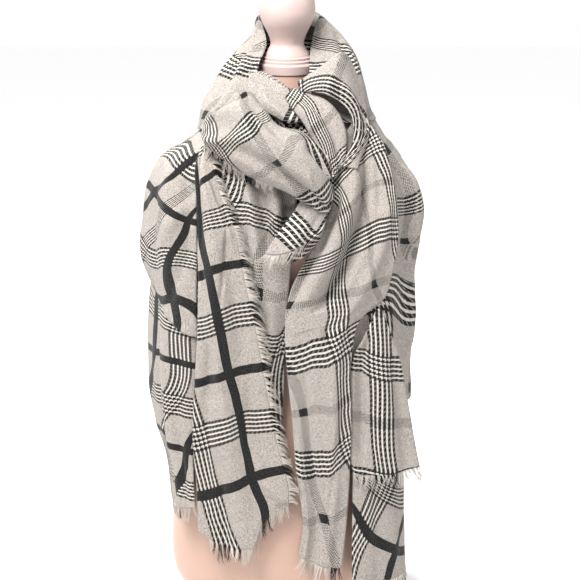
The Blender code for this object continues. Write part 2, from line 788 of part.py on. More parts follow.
def build():
    for old in list(bpy.data.objects):
        bpy.data.objects.remove(old)
    home = bpy.data.collections.new("blanket_scarf_on_form")
    bpy.context.scene.collection.children.link(home)
    shell, cap = material("shell", 0.5), material("cap", 0.35)
    wool, yarn = material("wool", 0.9), material("fringe", 0.9)

    placed = {}
    for piece in (torso(shell, home), neck_cap(cap, home)):
        placed[piece.name] = solid_of(piece)

    def panel(columns, left_turn=0.0, right_turn=0.0, hem=None):
        return lambda row: panel_section(row, columns, left_turn, right_turn, hem)

    def roll(columns):
        return lambda row: roll_section(row, columns)

    def carried(columns):
        return lambda row: carried_section(row, columns)

    back, down, forward = Vector((0, 1, 0)), Vector((0, 0, -1)), Vector((0, -1, 0))

    def ahead(point):
        return forward

    def from_heart(height):
        return lambda point: Vector((point.x, point.y, max(point.z - height, 0))).normalized()

    stretches = (
        ("long_wrap", LONG_WRAP, carried(36), 9, from_heart(LEVEL), forward),
        ("left_cape", LEFT_CAPE, carried(22), 9, from_heart(SHOULDER_HEART), down),
        ("right_shoulder", RIGHT_SHOULDER, carried(22), 11, from_heart(SHOULDER_HEART), down),
        ("first_turn", FIRST_TURN, panel(8), 5, ahead, back),
        ("left_inner", LEFT_INNER, panel(8), 10, ahead, back),
        ("right_tail", RIGHT_TAIL, panel(7), 8, ahead, back),
        ("centre_right", CENTRE_RIGHT, panel(11, 3, 4), 17, ahead, back),
        ("left_front", LEFT_FRONT, panel(11, 4, 0, HEM_STEP), 15, ahead, back),
        ("tuck_under", TUCK_UNDER, panel(4), 3, ahead, back),
        ("tuck_tail", TUCK_TAIL, panel(6, 0, 2), 5, ahead, back),
        ("collar", COLLAR, carried(30), 10, from_heart(NECK_HEART), down),
        ("cowl_inner", COWL_INNER, roll(6), 6, ahead, back),
        ("twist_roll", TWIST_ROLL, roll(8), 9, ahead, back),
        ("turned_lip", TURNED_LIP, roll(8), 12, ahead, back),
        ("cowl_front", COWL_FRONT, roll(10), 15, ahead, back),
    )
    edges = {"hem": hem_edge, "side": side_edge}
    for name, rows, section, lines, outward, toward in stretches:
        piece, points, normals = cloth(name, rows, section, lines, placed, outward, wool, home)
        shift = seat(piece, placed, toward)
        for fringe in (row for row in FRINGES if row.cloth == name):
            edge = edges[fringe.edge](points, normals, shift, fringe.start, fringe.end)
            strands = strand_strip(
                fringe.name, edge, fringe.pitch, fringe.length, placed, outward, yarn, home
            )
            placed[fringe.name] = solid_of(strands)


build()
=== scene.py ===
"""Looks for the plaid blanket scarf on its dress form: folded cloth, woven plaid, fringe, light and camera.

Sizes are in millimetres until they become meshes, +Z up, the wearer's front at -Y, as in the part's source.
Each stretch of cloth follows its CAD node's sections, with finer folds, and is laid over the stretches under
it. The plaid is placed by where its threads are seen on each stretch from the camera.
"""

import math
from collections import namedtuple
from functools import partial

import bpy
import numpy as np
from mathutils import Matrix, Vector, noise
from mathutils.bvhtree import BVHTree


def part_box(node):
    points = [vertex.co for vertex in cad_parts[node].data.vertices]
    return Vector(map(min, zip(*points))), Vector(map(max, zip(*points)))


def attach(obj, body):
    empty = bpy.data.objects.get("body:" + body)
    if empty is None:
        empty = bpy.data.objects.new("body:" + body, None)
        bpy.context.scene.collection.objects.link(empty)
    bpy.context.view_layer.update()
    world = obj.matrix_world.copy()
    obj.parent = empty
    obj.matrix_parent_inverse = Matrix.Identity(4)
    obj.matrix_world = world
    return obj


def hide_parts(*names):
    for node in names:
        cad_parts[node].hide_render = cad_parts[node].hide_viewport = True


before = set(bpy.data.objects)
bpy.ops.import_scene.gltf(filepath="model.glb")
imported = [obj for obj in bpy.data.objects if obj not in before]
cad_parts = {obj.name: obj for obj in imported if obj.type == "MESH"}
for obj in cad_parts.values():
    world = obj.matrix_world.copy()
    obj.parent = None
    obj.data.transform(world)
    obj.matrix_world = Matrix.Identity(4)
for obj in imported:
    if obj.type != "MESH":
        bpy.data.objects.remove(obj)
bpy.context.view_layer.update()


def table(columns, *rows):
    """Rows whose values are called by their column's name."""
    row_type = namedtuple("Row", columns)
    return [row_type(*row) for row in rows]


def tables(columns, **rows_of):
    """A table for each stretch of cloth."""
    return {name: table(columns, *rows) for name, rows in rows_of.items()}


MM = 0.001
GRID = 3.8  # the spacing of the cloth's points
COARSE = 24  # lines and columns of the first grid, which measures a stretch
WALL = 1.7  # the cloth's thickness
CLEAR = 0.5  # the least space between two layers
LIFT = 45.0  # how far above a layer the search for what lies under it starts
CLOTH_X = 4.0  # the scarf hangs this far to the wearer's left of the form's middle
FORWARD = np.array((0.0, -1.0, 0.0))
FLAP = 16.0  # how far a turned edge reaches behind its panel
ROLL_FACES = np.array((0.0, -1.0, 0.25))  # the way that a roll of cloth bulges
ROUNDNESS = 0.92  # the power of sine and cosine round the form; 1 is an ellipse, and less is squarer
RIPPLE_LENGTH = 38.0
SMOOTHINGS = 5  # how often a lift over what lies under is spread to the points around it
NODE_SEARCH = 60.0  # how far before and behind a stretch its CAD node is looked for
STRAND_RADIUS = 0.55
STRAND_TAPER = 0.55  # the share of its radius that a strand loses by its end
STRAND_SIDES = 3
STRAND_STATIONS = 6
CLEAR_STATIONS = (2, 3, 4, 6)  # where a strand is lifted clear of what lies under it
STRAND_ROOT = 1.5  # how far inside the cloth a strand starts
STRAND_CLEAR = 1.2  # how close a strand's middle comes to what lies under it

# ---- Camera ----

CAMERA_PLACE = np.array((4.0, -2348.0, 961.0))
CAMERA_TILT = math.radians(12.0)
FRAME_PIXELS = 580
FOCAL_PIXELS = 1600.0
SENSOR = 36.0

# ---- Plaid ----

REPEAT = 163.0  # one repeat of the check, the same along and across the cloth
YARNS = 192  # threads in a repeat
BOLD_HALF = 8  # threads on each side of the middle of a bold stripe
GLEN_START = 74  # the first thread of the group of fine lines
GLEN_LINES = 6
DARK_YARNS, WHITE_YARNS = 5, 3  # threads in each dark line and in the white gap after it
LINE_YARNS = DARK_YARNS + WHITE_YARNS
AXES = ("warp", "weft")
TWILL = 8  # threads in one repeat of the twill
WARP_UP = 3.5  # the warp shows on four of them, the steps 0 to 3
ALONE_UP = 3.0  # away from the crossings a fine line shows on three more
DOTS_APART, DOT_YARNS = 7, 1.5  # on the pale face a bold stripe is dotted, two dark yarns in every seven
HELD_EVEN = 0.4  # how strongly the even weave holds against few sightings, of the cloth's size
BEND_WIDTH = 0.8  # how far a sighting bends the weave around it, in repeats
NEAREST = 4  # how many of the cloth's points a sighting is placed between
FACING_AWAY = 1000.0  # pixels, which keep a sighting off the points that face away from the camera
GIVE = 0.002  # how far the bent weave may miss its sightings; at 0 it passes through them all

# ---- Dress form ----

TORSO = table(
    "z half_width front back squareness",
    (0, 146, 84, 84, 2.2),
    (5, 158, 94, 94, 2.2),
    (16, 167, 103, 103, 2.2),
    (35, 175, 109, 107, 2.2),
    (75, 178, 112, 110, 2.2),
    (130, 173, 110, 109, 2.2),
    (200, 158, 102, 102, 2.2),
    (280, 134, 93, 88, 2.2),
    (355, 120, 88, 78, 2.2),
    (430, 127, 95, 80, 2.2),
    (500, 141, 106, 88, 2.2),
    (545, 149, 110, 94, 2.25),
    (600, 158, 104, 96, 2.3),
    (640, 165, 92, 88, 2.3),
    (665, 165, 82, 78, 2.3),
    (685, 150, 73, 69, 2.3),
    (703, 122, 65, 61, 2.2),
    (722, 90, 57, 53, 2.1),
    (738, 67, 51, 48, 2.0),
    (752, 53, 46, 45, 2.0),
    (768, 46, 44, 44, 2.0),
    (787, 43, 43, 43, 2.0),
)
NECK_TOP = 787.0
CAP_LEAN = math.radians(5.0)  # the neck's top and its cap tip forward
LEAN_START = 768.0  # the height from which the neck tips
AROUND = 96  # points round the form
ANGLES = np.linspace(0, 2 * math.pi, AROUND, endpoint=False)
CAP = table(  # the turned cap from its underside to the top of its knob
    "radius height",
    (0, 0.3), (44, 0.3), (45, 2), (45, 13.5), (43.5, 15), (40, 16), (40, 19), (36.5, 20.5), (36.5, 23.5),
    (33, 25), (32, 28), (28, 33), (25, 39), (24.5, 44), (26.5, 52), (31, 62), (36.5, 73),
    (40, 84), (40.5, 93), (39, 104), (34.5, 116), (27, 126), (16, 133.5), (0, 137),
)
KNOB_START = 11  # the first row of the knob and its waist, which are smooth

# ---- Cloth panels: each section's left and right edge as seen from the front, from the top down ----

PANEL = "left_x left_y left_z right_x right_y right_z bulge sag"
FIRST_TURN = table(
    PANEL,
    (-78, -70, 742, 70, -64, 742, 16, 0),
    (-72, -92, 705, 72, -88, 705, 16, 0),
    (-60, -108, 665, 66, -106, 665, 12, 0),
    (-44, -117, 622, 52, -117, 622, 6, 12),
)
LEFT_INNER = table(
    PANEL,
    (-100, -98, 672, 6, -98, 664, 6, 0),
    (-93, -114, 632, 12, -114, 632, 6, 0),
    (-82, -122, 575, 4, -122, 584, 5, 0),
    (-76, -120, 487, 0, -124, 505, 4, 0),
    (-72, -114, 400, -6, -117, 425, 3, 0),
    (-70, -110, 320, -10, -112, 323, 3, 0),
    (-68, -110, 235, -14, -111, 240, 2, 4),
)
LEFT_FRONT = table(
    PANEL,
    (-126, -98, 692, -116, -102, 694, 2, 0),
    (-135, -117, 660, -108, -122, 665, 4, 0),
    (-133, -130, 620, -98, -134, 626, 6, 0),
    (-131, -136, 563, -78, -142, 578, 7, 0),
    (-131, -138, 491, -66, -143, 514, 7, 0),
    (-133, -135, 425, -49, -140, 434, 7, 0),
    (-138, -131, 350, -38, -137, 367, 6, 0),
    (-142, -129, 267, -20, -134, 269, 6, 0),
    (-137, -130, 190, -3, -134, 200, 5, 6),
    (-135, -132, 124, -2, -134, 166, 4, 46),
)
HEM_STEP = table(
    "across drop",
    (0, 0), (0.18, 0.55), (0.45, 0.92), (0.61, 1), (0.69, 0.3), (0.84, 0.1), (1, 0),
)
CENTRE_RIGHT = table(
    PANEL,
    (40, -104, 652, 100, -66, 738, 10, 0),
    (50, -119, 600, 134, -92, 690, 14, 0),
    (30, -131, 548, 150, -108, 625, 14, 0),
    (4, -136, 497, 154, -117, 560, 12, 0),
    (-6, -137, 460, 146, -121, 512, 10, 0),
    (-7, -136, 435, 134, -122, 474, 8, 0),
    (-7, -135, 410, 98, -128, 440, 7, 0),
    (-4, -133, 365, 88, -129, 378, 6, 0),
    (3, -130, 298, 89, -127, 310, 5, 0),
    (9, -128, 220, 88, -126, 232, 5, 0),
    (19, -129, 140, 84, -127, 150, 4, 0),
    (13, -130, 88, 77, -129, 68, 3, 3),
)
RIGHT_TAIL = table(
    PANEL,
    (123, -130, 462, 130, -129, 462, 1, 0),
    (107, -129, 423, 143, -125, 428, 5, 0),
    (88, -122, 379, 158, -119, 386, 8, 0),
    (84, -119, 311, 171, -115, 323, 9, 0),
    (84, -119, 251, 182, -114, 262, 8, 0),
    (92, -121, 214, 190, -114, 222, 5, 6),
)
TUCK_UNDER = table(
    PANEL,
    (8, -128, 606, 52, -130, 590, 2, 0),
    (2, -132, 568, 44, -134, 566, 3, 0),
    (-6, -134, 534, 33, -134, 550, 2, 8),
)
TUCK_TAIL = table(
    PANEL,
    (22, -136, 630, 58, -136, 604, 2, 0),
    (2, -142, 598, 50, -144, 590, 4, 0),
    (-18, -146, 572, 46, -148, 578, 5, 0),
    (-34, -147, 544, 38, -149, 568, 4, 8),
)

# ---- Rolls of cloth: the top and bottom edge of each section, from the left end to the right ----

ROLL = "top_x top_y top_z foot_x foot_y foot_z bulge"
COWL_INNER = table(
    ROLL,
    (-58, -50, 790, -62, -80, 752, 4),
    (-36, -56, 792, -40, -90, 742, 5),
    (-14, -63, 779, -20, -94, 730, 5),
    (3, -69, 766, -3, -96, 722, 5),
    (22, -72, 754, 17, -94, 722, 5),
)
COWL_FRONT = table(
    ROLL,
    (-122, -76, 716, -126, -84, 706, 7),
    (-112, -90, 728, -119, -108, 692, 17),
    (-92, -100, 748, -98, -124, 678, 29),
    (-65, -106, 772, -73, -134, 660, 40),
    (-39, -110, 748, -46, -140, 648, 46),
    (-17, -112, 720, -7, -144, 632, 50),
    (14, -110, 712, 16, -144, 618, 50),
    (38, -110, 696, 40, -142, 604, 42),
    (54, -110, 672, 54, -136, 602, 28),
    (60, -114, 650, 60, -130, 616, 12),
)
TWIST_ROLL = table(
    ROLL,
    (3, -72, 770, -7, -76, 757, 3),
    (20, -80, 765, 3, -95, 742, 8),
    (42, -86, 757, 14, -112, 730, 12),
    (63, -92, 738, 24, -122, 714, 14),
    (75, -96, 713, 36, -126, 692, 14),
    (77, -104, 688, 49, -128, 666, 12),
    (77, -112, 665, 60, -128, 645, 7),
)
TURNED_LIP = table(
    ROLL,
    (10, -70, 778, 14, -78, 765, 3),
    (40, -74, 798, 31, -92, 766, 9),
    (74, -60, 819, 53, -100, 761, 15),
    (93, -34, 789, 73, -102, 750, 19),
    (104, -30, 752, 86, -100, 730, 19),
    (109, -52, 715, 90, -98, 706, 16),
    (107, -80, 690, 82, -104, 684, 13),
    (92, -104, 660, 63, -116, 662, 10),
)

# ---- Cloth carried round the form: each section's turning points, from its front end round the back ----

WRAP = (
    "start_x start_y start_z left_x left_y left_z back_x back_y back_z "
    "right_x right_y right_z end_x end_y end_z"
)
LONG_WRAP = table(
    WRAP,
    (-112, -106, 560, -170, 0, 575, 0, 108, 600, 166, 0, 570, 104, -108, 560),
    (-124, -108, 480, -200, 0, 500, 0, 110, 520, 170, 0, 500, 98, -108, 480),
    (-134, -108, 400, -206, 0, 420, 0, 106, 430, 174, 0, 410, 95, -106, 390),
    (-138, -106, 320, -206, 0, 340, 0, 104, 330, 174, 0, 310, 93, -106, 300),
    (-141, -107, 250, -197, 0, 265, 0, 110, 240, 175, 0, 220, 92, -112, 215),
    (-141, -112, 200, -181, 0, 205, 0, 119, 150, 178, 0, 120, 91, -120, 110),
    (-139, -114, 160, -178, 0, 142, 0, 122, 90, 181, 0, 34, 92, -122, 48),
)
COLLAR = table(
    WRAP,
    (-40, 12, 846, -42, 34, 850, -4, 62, 862, 37, 34, 850, 34, 12, 846),
    (-42, 12, 860, -48, 36, 868, -4, 74, 882, 45, 36, 868, 38, 12, 860),
    (-34, -4, 831, -61, 22, 830, -4, 94, 862, 74, 24, 842, 30, -2, 826),
    (-43, -40, 807, -88, 8, 801, -4, 108, 825, 97, 10, 806, 28, -36, 799),
    (-54, -70, 774, -110, 2, 767, -4, 118, 785, 107, 2, 770, 27, -58, 775),
    (-74, -84, 747, -127, 0, 738, -4, 124, 745, 113, 0, 745, 40, -74, 750),
    (-100, -84, 720, -135, 0, 708, -4, 124, 716, 120, 0, 722, 70, -76, 722),
)
CAPE = "start_x start_y start_z side_x side_y side_z end_x end_y end_z"
LEFT_CAPE = table(  # from the front, round the left shoulder, to the back
    CAPE,
    (-100, -78, 700, -118, 0, 718, 10, 76, 716),
    (-128, -92, 680, -150, 0, 690, 24, 98, 690),
    (-131, -104, 655, -187, 0, 668, 34, 108, 655),
    (-132, -116, 620, -206, 0, 633, 40, 114, 620),
    (-132, -121, 585, -214, 0, 580, 44, 116, 580),
    (-132, -123, 530, -218, 0, 540, 48, 116, 540),
    (-133, -121, 475, -214, 0, 514, 50, 115, 490),
    (-133, -118, 420, -204, 0, 490, 52, 114, 440),
)
RIGHT_SHOULDER = table(  # from the back, round the right shoulder, to the front
    CAPE,
    (-34, 82, 722, 116, 0, 736, 66, -66, 726),
    (-46, 102, 694, 138, 0, 700, 70, -84, 690),
    (-54, 114, 658, 162, 0, 668, 74, -98, 655),
    (-60, 121, 622, 182, 0, 636, 76, -108, 622),
    (-64, 124, 585, 191, 0, 602, 76, -113, 588),
    (-66, 125, 540, 187, 0, 556, 74, -116, 545),
    (-68, 125, 495, 180, 0, 506, 70, -117, 500),
    (-70, 124, 450, 185, 0, 432, 68, -116, 430),
    (-72, 123, 420, 182, 0, 370, 68, -114, 370),
    (-74, 122, 395, 184, 0, 306, 68, -112, 312),
)

# ---- Folds: where each runs across its stretch at its top and foot, how far down it reaches, its size ----

FOLDS = tables(
    "across_top across_foot top foot half_width height",
    first_turn=((0.48, 0.78, 0.2, 1.1, 0.12, -13), (0.2, 0.35, 0.3, 1.1, 0.1, -7)),
    left_inner=(
        (0.2, 0.42, -0.15, 0.5, 0.09, 12), (0.3, 0.62, -0.1, 0.42, 0.07, -9.6),
        (0.44, 0.82, -0.15, 0.45, 0.1, 10.8), (0.62, 1.0, -0.1, 0.4, 0.09, -16.8),
        (0.7, 0.75, 0.5, 1.1, 0.14, 4.8), (0.3, 0.4, 0.5, 1.0, 0.08, -3.6),
    ),
    left_front=(
        (0.45, 0.3, 0.05, 0.55, 0.22, 7.2), (0.75, 0.62, 0.35, 0.95, 0.16, -8.7),
        (0.3, 0.62, 0.7, 1.1, 0.16, 10.2), (0.1, 0.5, 0.45, 0.8, 0.07, 5.1),
        (0.02, 0.3, 0.38, 0.6, 0.05, -3.6), (0.85, 0.4, 0.3, 0.5, 0.05, -4.3),
        (0.2, 0.1, 0.55, 0.9, 0.08, -5.8), (0.6, 0.9, 0.15, 0.4, 0.07, 4.3),
        (0.9, 0.55, 0.62, 0.82, 0.06, -4.3), (0.5, 0.95, 0.78, 0.97, 0.07, 5.8),
        (0.25, 0.3, 0.8, 1.1, 0.05, -4.3), (0.12, 0.06, 0.0, 0.35, 0.08, -4.3),
    ),
    centre_right=(
        (0.78, 0.34, 0.02, 0.42, 0.1, -22.1), (0.6, 0.2, -0.05, 0.36, 0.09, 7.8),
        (0.4, 0.12, -0.05, 0.38, 0.1, 6.5), (0.95, 0.62, 0.16, 0.5, 0.08, 7.8),
        (0.2, 0.04, 0.08, 0.34, 0.06, -7.8), (0.8, 0.62, 0.45, 1.05, 0.14, 7.8),
        (0.22, 0.3, 0.5, 1.1, 0.12, -6.5), (0.5, 0.8, 0.5, 0.66, 0.07, -4.5),
        (0.15, 0.45, 0.62, 0.86, 0.06, 3.9), (0.9, 0.5, 0.72, 0.95, 0.07, -3.9),
        (0.05, 0.12, 0.75, 1.1, 0.06, 4.5), (0.92, 0.8, 0.0, 0.2, 0.06, -6.5),
    ),
    right_tail=(
        (0.2, 0.2, 0.2, 0.9, 0.1, -8.4), (0.62, 0.55, 0.2, 1.1, 0.18, 7),
        (0.85, 0.8, 0.4, 1.05, 0.08, -5.6), (0.38, 0.34, 0.5, 1.1, 0.06, -4.2),
        (0.08, 0.06, 0.4, 1.1, 0.06, 5.6),
    ),
    long_wrap=(
        (0.1, 0.1, 0.1, 1.1, 0.025, 5.8), (0.17, 0.16, 0.2, 1.1, 0.022, -9.6),
        (0.27, 0.26, 0.1, 1.1, 0.03, 11.2), (0.36, 0.37, 0.2, 1.1, 0.026, -9.6),
        (0.46, 0.47, 0.0, 1.1, 0.034, 12.8), (0.56, 0.55, 0.2, 1.1, 0.028, -9.6),
        (0.65, 0.66, 0.1, 1.1, 0.03, 11.2), (0.76, 0.77, 0.3, 1.1, 0.025, -6.4),
        (0.88, 0.87, 0.4, 1.1, 0.022, 4.8), (0.94, 0.925, 0.5, 1.1, 0.018, -3.8),
        (0.05, 0.06, 0.3, 1.1, 0.018, -3.8), (0.315, 0.31, 0.35, 1.0, 0.012, 4.8),
        (0.41, 0.42, 0.5, 1.1, 0.012, -4.8), (0.51, 0.505, 0.3, 0.95, 0.014, -4.8),
        (0.605, 0.61, 0.45, 1.1, 0.012, 4.8),
    ),
    left_cape=(
        (0.2, 0.12, 0.15, 0.85, 0.06, 8.5), (0.06, 0.04, 0.1, 0.7, 0.035, -4.8),
        (0.33, 0.24, 0.3, 1.1, 0.05, -7.6), (0.62, 0.55, 0.2, 1.1, 0.06, 10.8),
        (0.8, 0.76, 0.2, 1.1, 0.05, -8.1), (0.02, 0.22, 0.42, 0.72, 0.04, 4.8),
        (0.0, 0.2, 0.62, 0.95, 0.035, -3.8), (0.44, 0.38, 0.35, 1.05, 0.025, 5.4),
        (0.7, 0.66, 0.4, 1.1, 0.022, -4.1), (0.9, 0.87, 0.3, 1.0, 0.03, 5.4),
    ),
    right_shoulder=(
        (0.22, 0.26, 0.2, 1.1, 0.05, 12), (0.36, 0.42, 0.15, 1.1, 0.045, -10.5),
        (0.6, 0.62, 0.25, 0.9, 0.045, 10.5), (0.67, 0.69, 0.12, 0.6, 0.03, -9),
        (0.74, 0.72, 0.3, 1.0, 0.04, -5), (0.12, 0.14, 0.3, 1.0, 0.025, -6),
        (0.3, 0.33, 0.45, 1.1, 0.02, 4.5), (0.5, 0.52, 0.3, 0.8, 0.025, -6),
    ),
    collar=(
        (0.16, 0.12, 0.25, 1.1, 0.035, -10.4), (0.08, 0.06, 0.4, 1.1, 0.03, 6.5),
        (0.34, 0.32, 0.3, 1.1, 0.05, 9.1), (0.5, 0.52, 0.35, 1.1, 0.05, -7.8),
        (0.66, 0.7, 0.3, 1.0, 0.05, 7.8), (0.82, 0.86, 0.3, 0.9, 0.035, -11.7),
        (0.25, 0.22, 0.35, 0.9, 0.02, 5.2), (0.43, 0.41, 0.5, 1.1, 0.018, -3.9),
        (0.6, 0.62, 0.45, 1.0, 0.02, 3.9),
    ),
    cowl_front=(
        (0.22, 0.62, 0.02, 0.75, 0.1, 8.4), (0.1, 0.36, 0.05, 0.6, 0.06, -7),
        (0.66, 0.9, 0.25, 1.0, 0.08, -11.2), (0.8, 0.55, 0.05, 0.4, 0.07, 7),
        (0.3, 0.34, 0.7, 1.02, 0.1, -12.6), (0.45, 0.6, 0.35, 0.7, 0.05, -4.2),
    ),
    cowl_inner=((0.35, 0.6, 0.1, 1.0, 0.12, -5), (0.7, 0.8, 0.2, 1.0, 0.1, 4)),
    twist_roll=(
        (0.5, 0.45, 0.15, 0.9, 0.09, -8), (0.2, 0.25, 0.3, 1.0, 0.12, 4), (0.75, 0.7, 0.2, 0.8, 0.06, 3),
    ),
    turned_lip=(
        (0.45, 0.5, 0.1, 0.95, 0.2, -6), (0.2, 0.3, 0.15, 0.6, 0.06, -3), (0.75, 0.7, 0.2, 0.7, 0.07, 4),
    ),
    tuck_tail=((0.45, 0.5, 0.0, 1.1, 0.2, 4), (0.75, 0.8, 0.1, 1.1, 0.08, -2.5)),
)

# ---- Plaid: where threads are seen on each stretch, in pixels; 0 is a bold stripe, 0.5 a group of lines ----

THREAD = "thread px py"
WARP_SEEN = tables(
    THREAD,
    long_wrap=(
        (0, 190, 440), (0, 183, 475), (0, 177, 494), (0.5, 180, 345), (0.5, 178, 390), (1, 159, 283),
        (1, 156, 310), (1, 154, 345), (4, 405, 509), (4, 401, 528), (4, 394, 557), (4, 388, 577),
        (4.5, 378, 498), (4.5, 368, 522),
    ),
    left_cape=(
        (0, 191, 215), (0, 186, 230), (0, 177, 245), (0, 168, 261), (0, 168, 271), (0, 171, 286),
        (0, 174, 303), (0.1, 175, 230), (-0.1, 195, 232), (0.1, 167, 245), (-0.1, 187, 247),
        (0.1, 159, 262), (-0.1, 178, 263), (0.1, 159, 280), (-0.1, 179, 280), (0.1, 163, 300),
        (-0.1, 184, 300), (0.1, 165, 318), (-0.1, 187, 318), (1, 184, 166), (1, 170, 179), (1, 156, 191),
        (1, 149, 200),
    ),
    right_shoulder=((0, 403, 241), (0, 408, 275)),
    # first_turn: these sightings run a bold stripe along the hollow under the cowl so that its black fills
    # the hollow. It is partly the cloth's own stripe and partly painted shade for the hollow's deep shadow.
    first_turn=((0, 268, 180), (0, 284, 193), (0, 300, 207)),
    left_inner=(
        (0, 284, 205), (0, 270, 235), (0, 258, 262), (0, 258, 294), (0.5, 282, 360), (0.5, 282, 430),
    ),
    right_tail=(
        (0.5, 379, 318), (0.38, 368, 345), (0.63, 393, 345), (0.38, 368, 372), (0.63, 393, 372),
        (0.38, 369, 400), (0.63, 394, 400), (0.38, 370, 430), (0.63, 395, 430), (0.38, 372, 458),
        (0.63, 397, 458),
    ),
    centre_right=(
        (0, 289, 305), (0, 304, 413), (0, 312, 480), (0, 324, 520), (0, 334, 558), (0.5, 337, 300),
        (0.5, 340, 340), (0.5, 346, 400), (1, 374, 284), (1, 371, 245), (1, 362, 193), (0.5, 345, 215),
        (1.5, 371, 120), (1.5, 380, 147), (1.5, 386, 158), (1.5, 391, 175), (1.5, 394, 200),
        (1.5, 398, 235),
    ),
    left_front=(
        (0, 191, 180), (0, 196, 212), (0, 205, 258), (0, 216, 310), (0, 228, 370), (0, 242, 430),
        (0, 258, 495), (0, 266, 520), (-0.5, 207, 480), (-0.5, 217, 520), (-0.5, 225, 540),
    ),
    tuck_under=((0, 282, 203), (0, 286, 220)),
    tuck_tail=((0.1, 266, 250), (0.36, 312, 232)),
    collar=((0.5, 219, 74),),
    twist_roll=(
        (0.6, 286, 94), (0.6, 295, 99), (0.6, 304, 108), (0.6, 312, 125), (0.6, 324, 151), (0.4, 303, 94),
        (0.4, 318, 111), (0.4, 324, 125), (0.4, 332, 145), (0.25, 340, 125),
    ),
    turned_lip=(
        (0.4, 299, 86), (0.4, 309, 79), (0.4, 321, 76), (0.4, 335, 79), (0.4, 346, 84), (0.4, 354, 94),
        (0.4, 364, 112), (0.6, 319, 93), (0.6, 328, 99), (0.6, 339, 109), (0.6, 352, 118), (0.5, 357, 139),
        (0.5, 345, 158), (0.3, 322, 66),
    ),
    cowl_front=(
        (0, 225, 107), (0, 244, 95), (0, 259, 97), (0.5, 227, 145), (0.5, 245, 130), (0.5, 260, 118),
        (0.5, 271, 112), (1, 277, 164), (1, 288, 152), (1, 307, 136), (1.5, 316, 203), (1.5, 332, 189),
    ),
)
WEFT_SEEN = tables(
    THREAD,
    long_wrap=(
        (0.5, 158, 310), (0.5, 188, 328), (1, 154, 351), (1, 180, 362), (1, 193, 366), (1.5, 160, 395),
        (1.5, 190, 408), (2, 166, 440), (2, 190, 452), (2.5, 370, 482), (2.5, 396, 497), (3, 350, 506),
        (3, 366, 533), (3, 380, 542), (3, 398, 551),
    ),
    left_cape=(
        (-0.5, 172, 147), (-0.5, 183, 160), (0, 150, 187), (0, 154, 192), (0, 164, 207), (0, 186, 220),
        (0.5, 146, 254), (0.5, 160, 258), (0.5, 190, 259), (1, 183, 302), (1, 193, 307),
    ),
    right_shoulder=((-0.5, 409, 206), (0, 403, 241), (0.5, 388, 286), (0.5, 406, 302), (1, 410, 388)),
    right_tail=(
        (1.5, 380, 367), (1.5, 398, 369), (2, 356, 416), (2, 398, 423), (1, 380, 313), (2.3, 384, 462),
    ),
    left_inner=(
        (0.385, 254, 204), (0.5, 250, 214), (0.5, 257, 217), (0.5, 272, 223), (0.635, 260, 230),
        (0.635, 272, 237), (1, 258, 294), (1, 284, 296), (1.5, 276, 346), (2, 280, 400),
    ),
    centre_right=(
        (-0.5, 367, 150), (-0.5, 376, 142), (-0.5, 385, 140), (0, 362, 193), (0, 376, 183), (0, 392, 181),
        (0.5, 390, 228), (0.5, 365, 237), (0.5, 346, 250), (1, 289, 305), (1, 325, 297), (1, 374, 284),
        (1, 390, 280), (1.5, 290, 361), (1.5, 325, 353), (1.5, 348, 338), (2, 304, 413), (2, 345, 400),
        (2.5, 292, 462), (2.5, 325, 465), (2.5, 348, 447), (3, 305, 522), (3, 324, 520), (3, 348, 512),
        (3.12, 310, 534), (3.12, 345, 526), (3.36, 315, 566), (3.36, 343, 572),
    ),
    left_front=(
        (-0.5, 203, 141), (0, 191, 188), (0, 203, 182), (0, 218, 171), (0.5, 200, 222), (0.5, 227, 215),
        (1, 197, 277), (1, 210, 270), (1, 245, 263), (1.5, 196, 329), (1.5, 248, 314), (2, 195, 383),
        (2, 228, 375), (2, 262, 367), (2.5, 195, 438), (2.5, 235, 427), (2.5, 268, 420), (3, 197, 496),
        (3, 235, 487), (3, 250, 478), (3, 275, 471), (3.11, 200, 509), (3.11, 238, 500), (3.11, 276, 484),
        (3.34, 213, 543), (3.35, 250, 545),
    ),
    tuck_tail=((0.5, 289, 224), (0.5, 298, 234), (0.5, 307, 244)),
    collar=((0.5, 238, 68),),
    cowl_inner=((0.3, 262, 82), (0.36, 285, 98)),
    twist_roll=((0.5, 293, 96), (1, 314, 130), (1.5, 337, 165)),
    turned_lip=((1, 335, 86), (1.5, 340, 165)),
    cowl_front=(
        (-0.5, 212, 146), (-0.5, 218, 163), (0, 244, 95), (0, 257, 135), (0, 268, 152), (0, 277, 164),
        (0.5, 318, 139), (0.5, 326, 157), (0.5, 332, 170),
    ),
)

# ---- Colours, as seen on a screen ----

GROUND_PALE = (145, 138, 131)
GROUND_GREY = (72, 69, 67)
WHITE_YARN = (168, 162, 154)
DARK_YARN = (9, 9, 9)
DARK_FLECK = (40, 39, 38)
SHELL = (148, 121, 107)
CAP_COLOUR = (148, 130, 125)
FLOOR_COLOUR = (252, 252, 252)
WOOL_FINISH = {"Roughness": 0.92, "Specular IOR Level": 0.08, "Sheen Weight": 0.06, "Sheen Roughness": 0.5}
FIBRE_SCALE, GRAIN_SCALE, SHELL_GRAIN_SCALE = 620.0, 900.0, 700.0  # spots in a metre

# ---- Studio, in metres and watts ----

LIGHTS = table(
    "name place target size power",
    ("key", (-0.62, -1.0, 2.1), (0, 0, 0.7), 0.8, 132),
    ("fill", (1.9, -0.6, 1.3), (0, 0, 0.55), 1.2, 14),
    ("back", (-1.2, 1.7, 1.9), (0, 0, 0.5), 1.0, 60),
)
FLOOR_HALF = 14.0


# ---- Curves ----


def linear(colour):
    """A screen colour as the shader's own values."""
    channels = np.array(colour, float) / 255
    low = channels / 12.92
    high = ((channels + 0.055) / 1.055) ** 2.4
    return (*np.where(channels <= 0.04045, low, high), 1.0)


def unit(vectors):
    """The same directions, each one long."""
    length = np.linalg.norm(vectors, axis=-1, keepdims=True)
    return vectors / np.maximum(length, 1e-9)


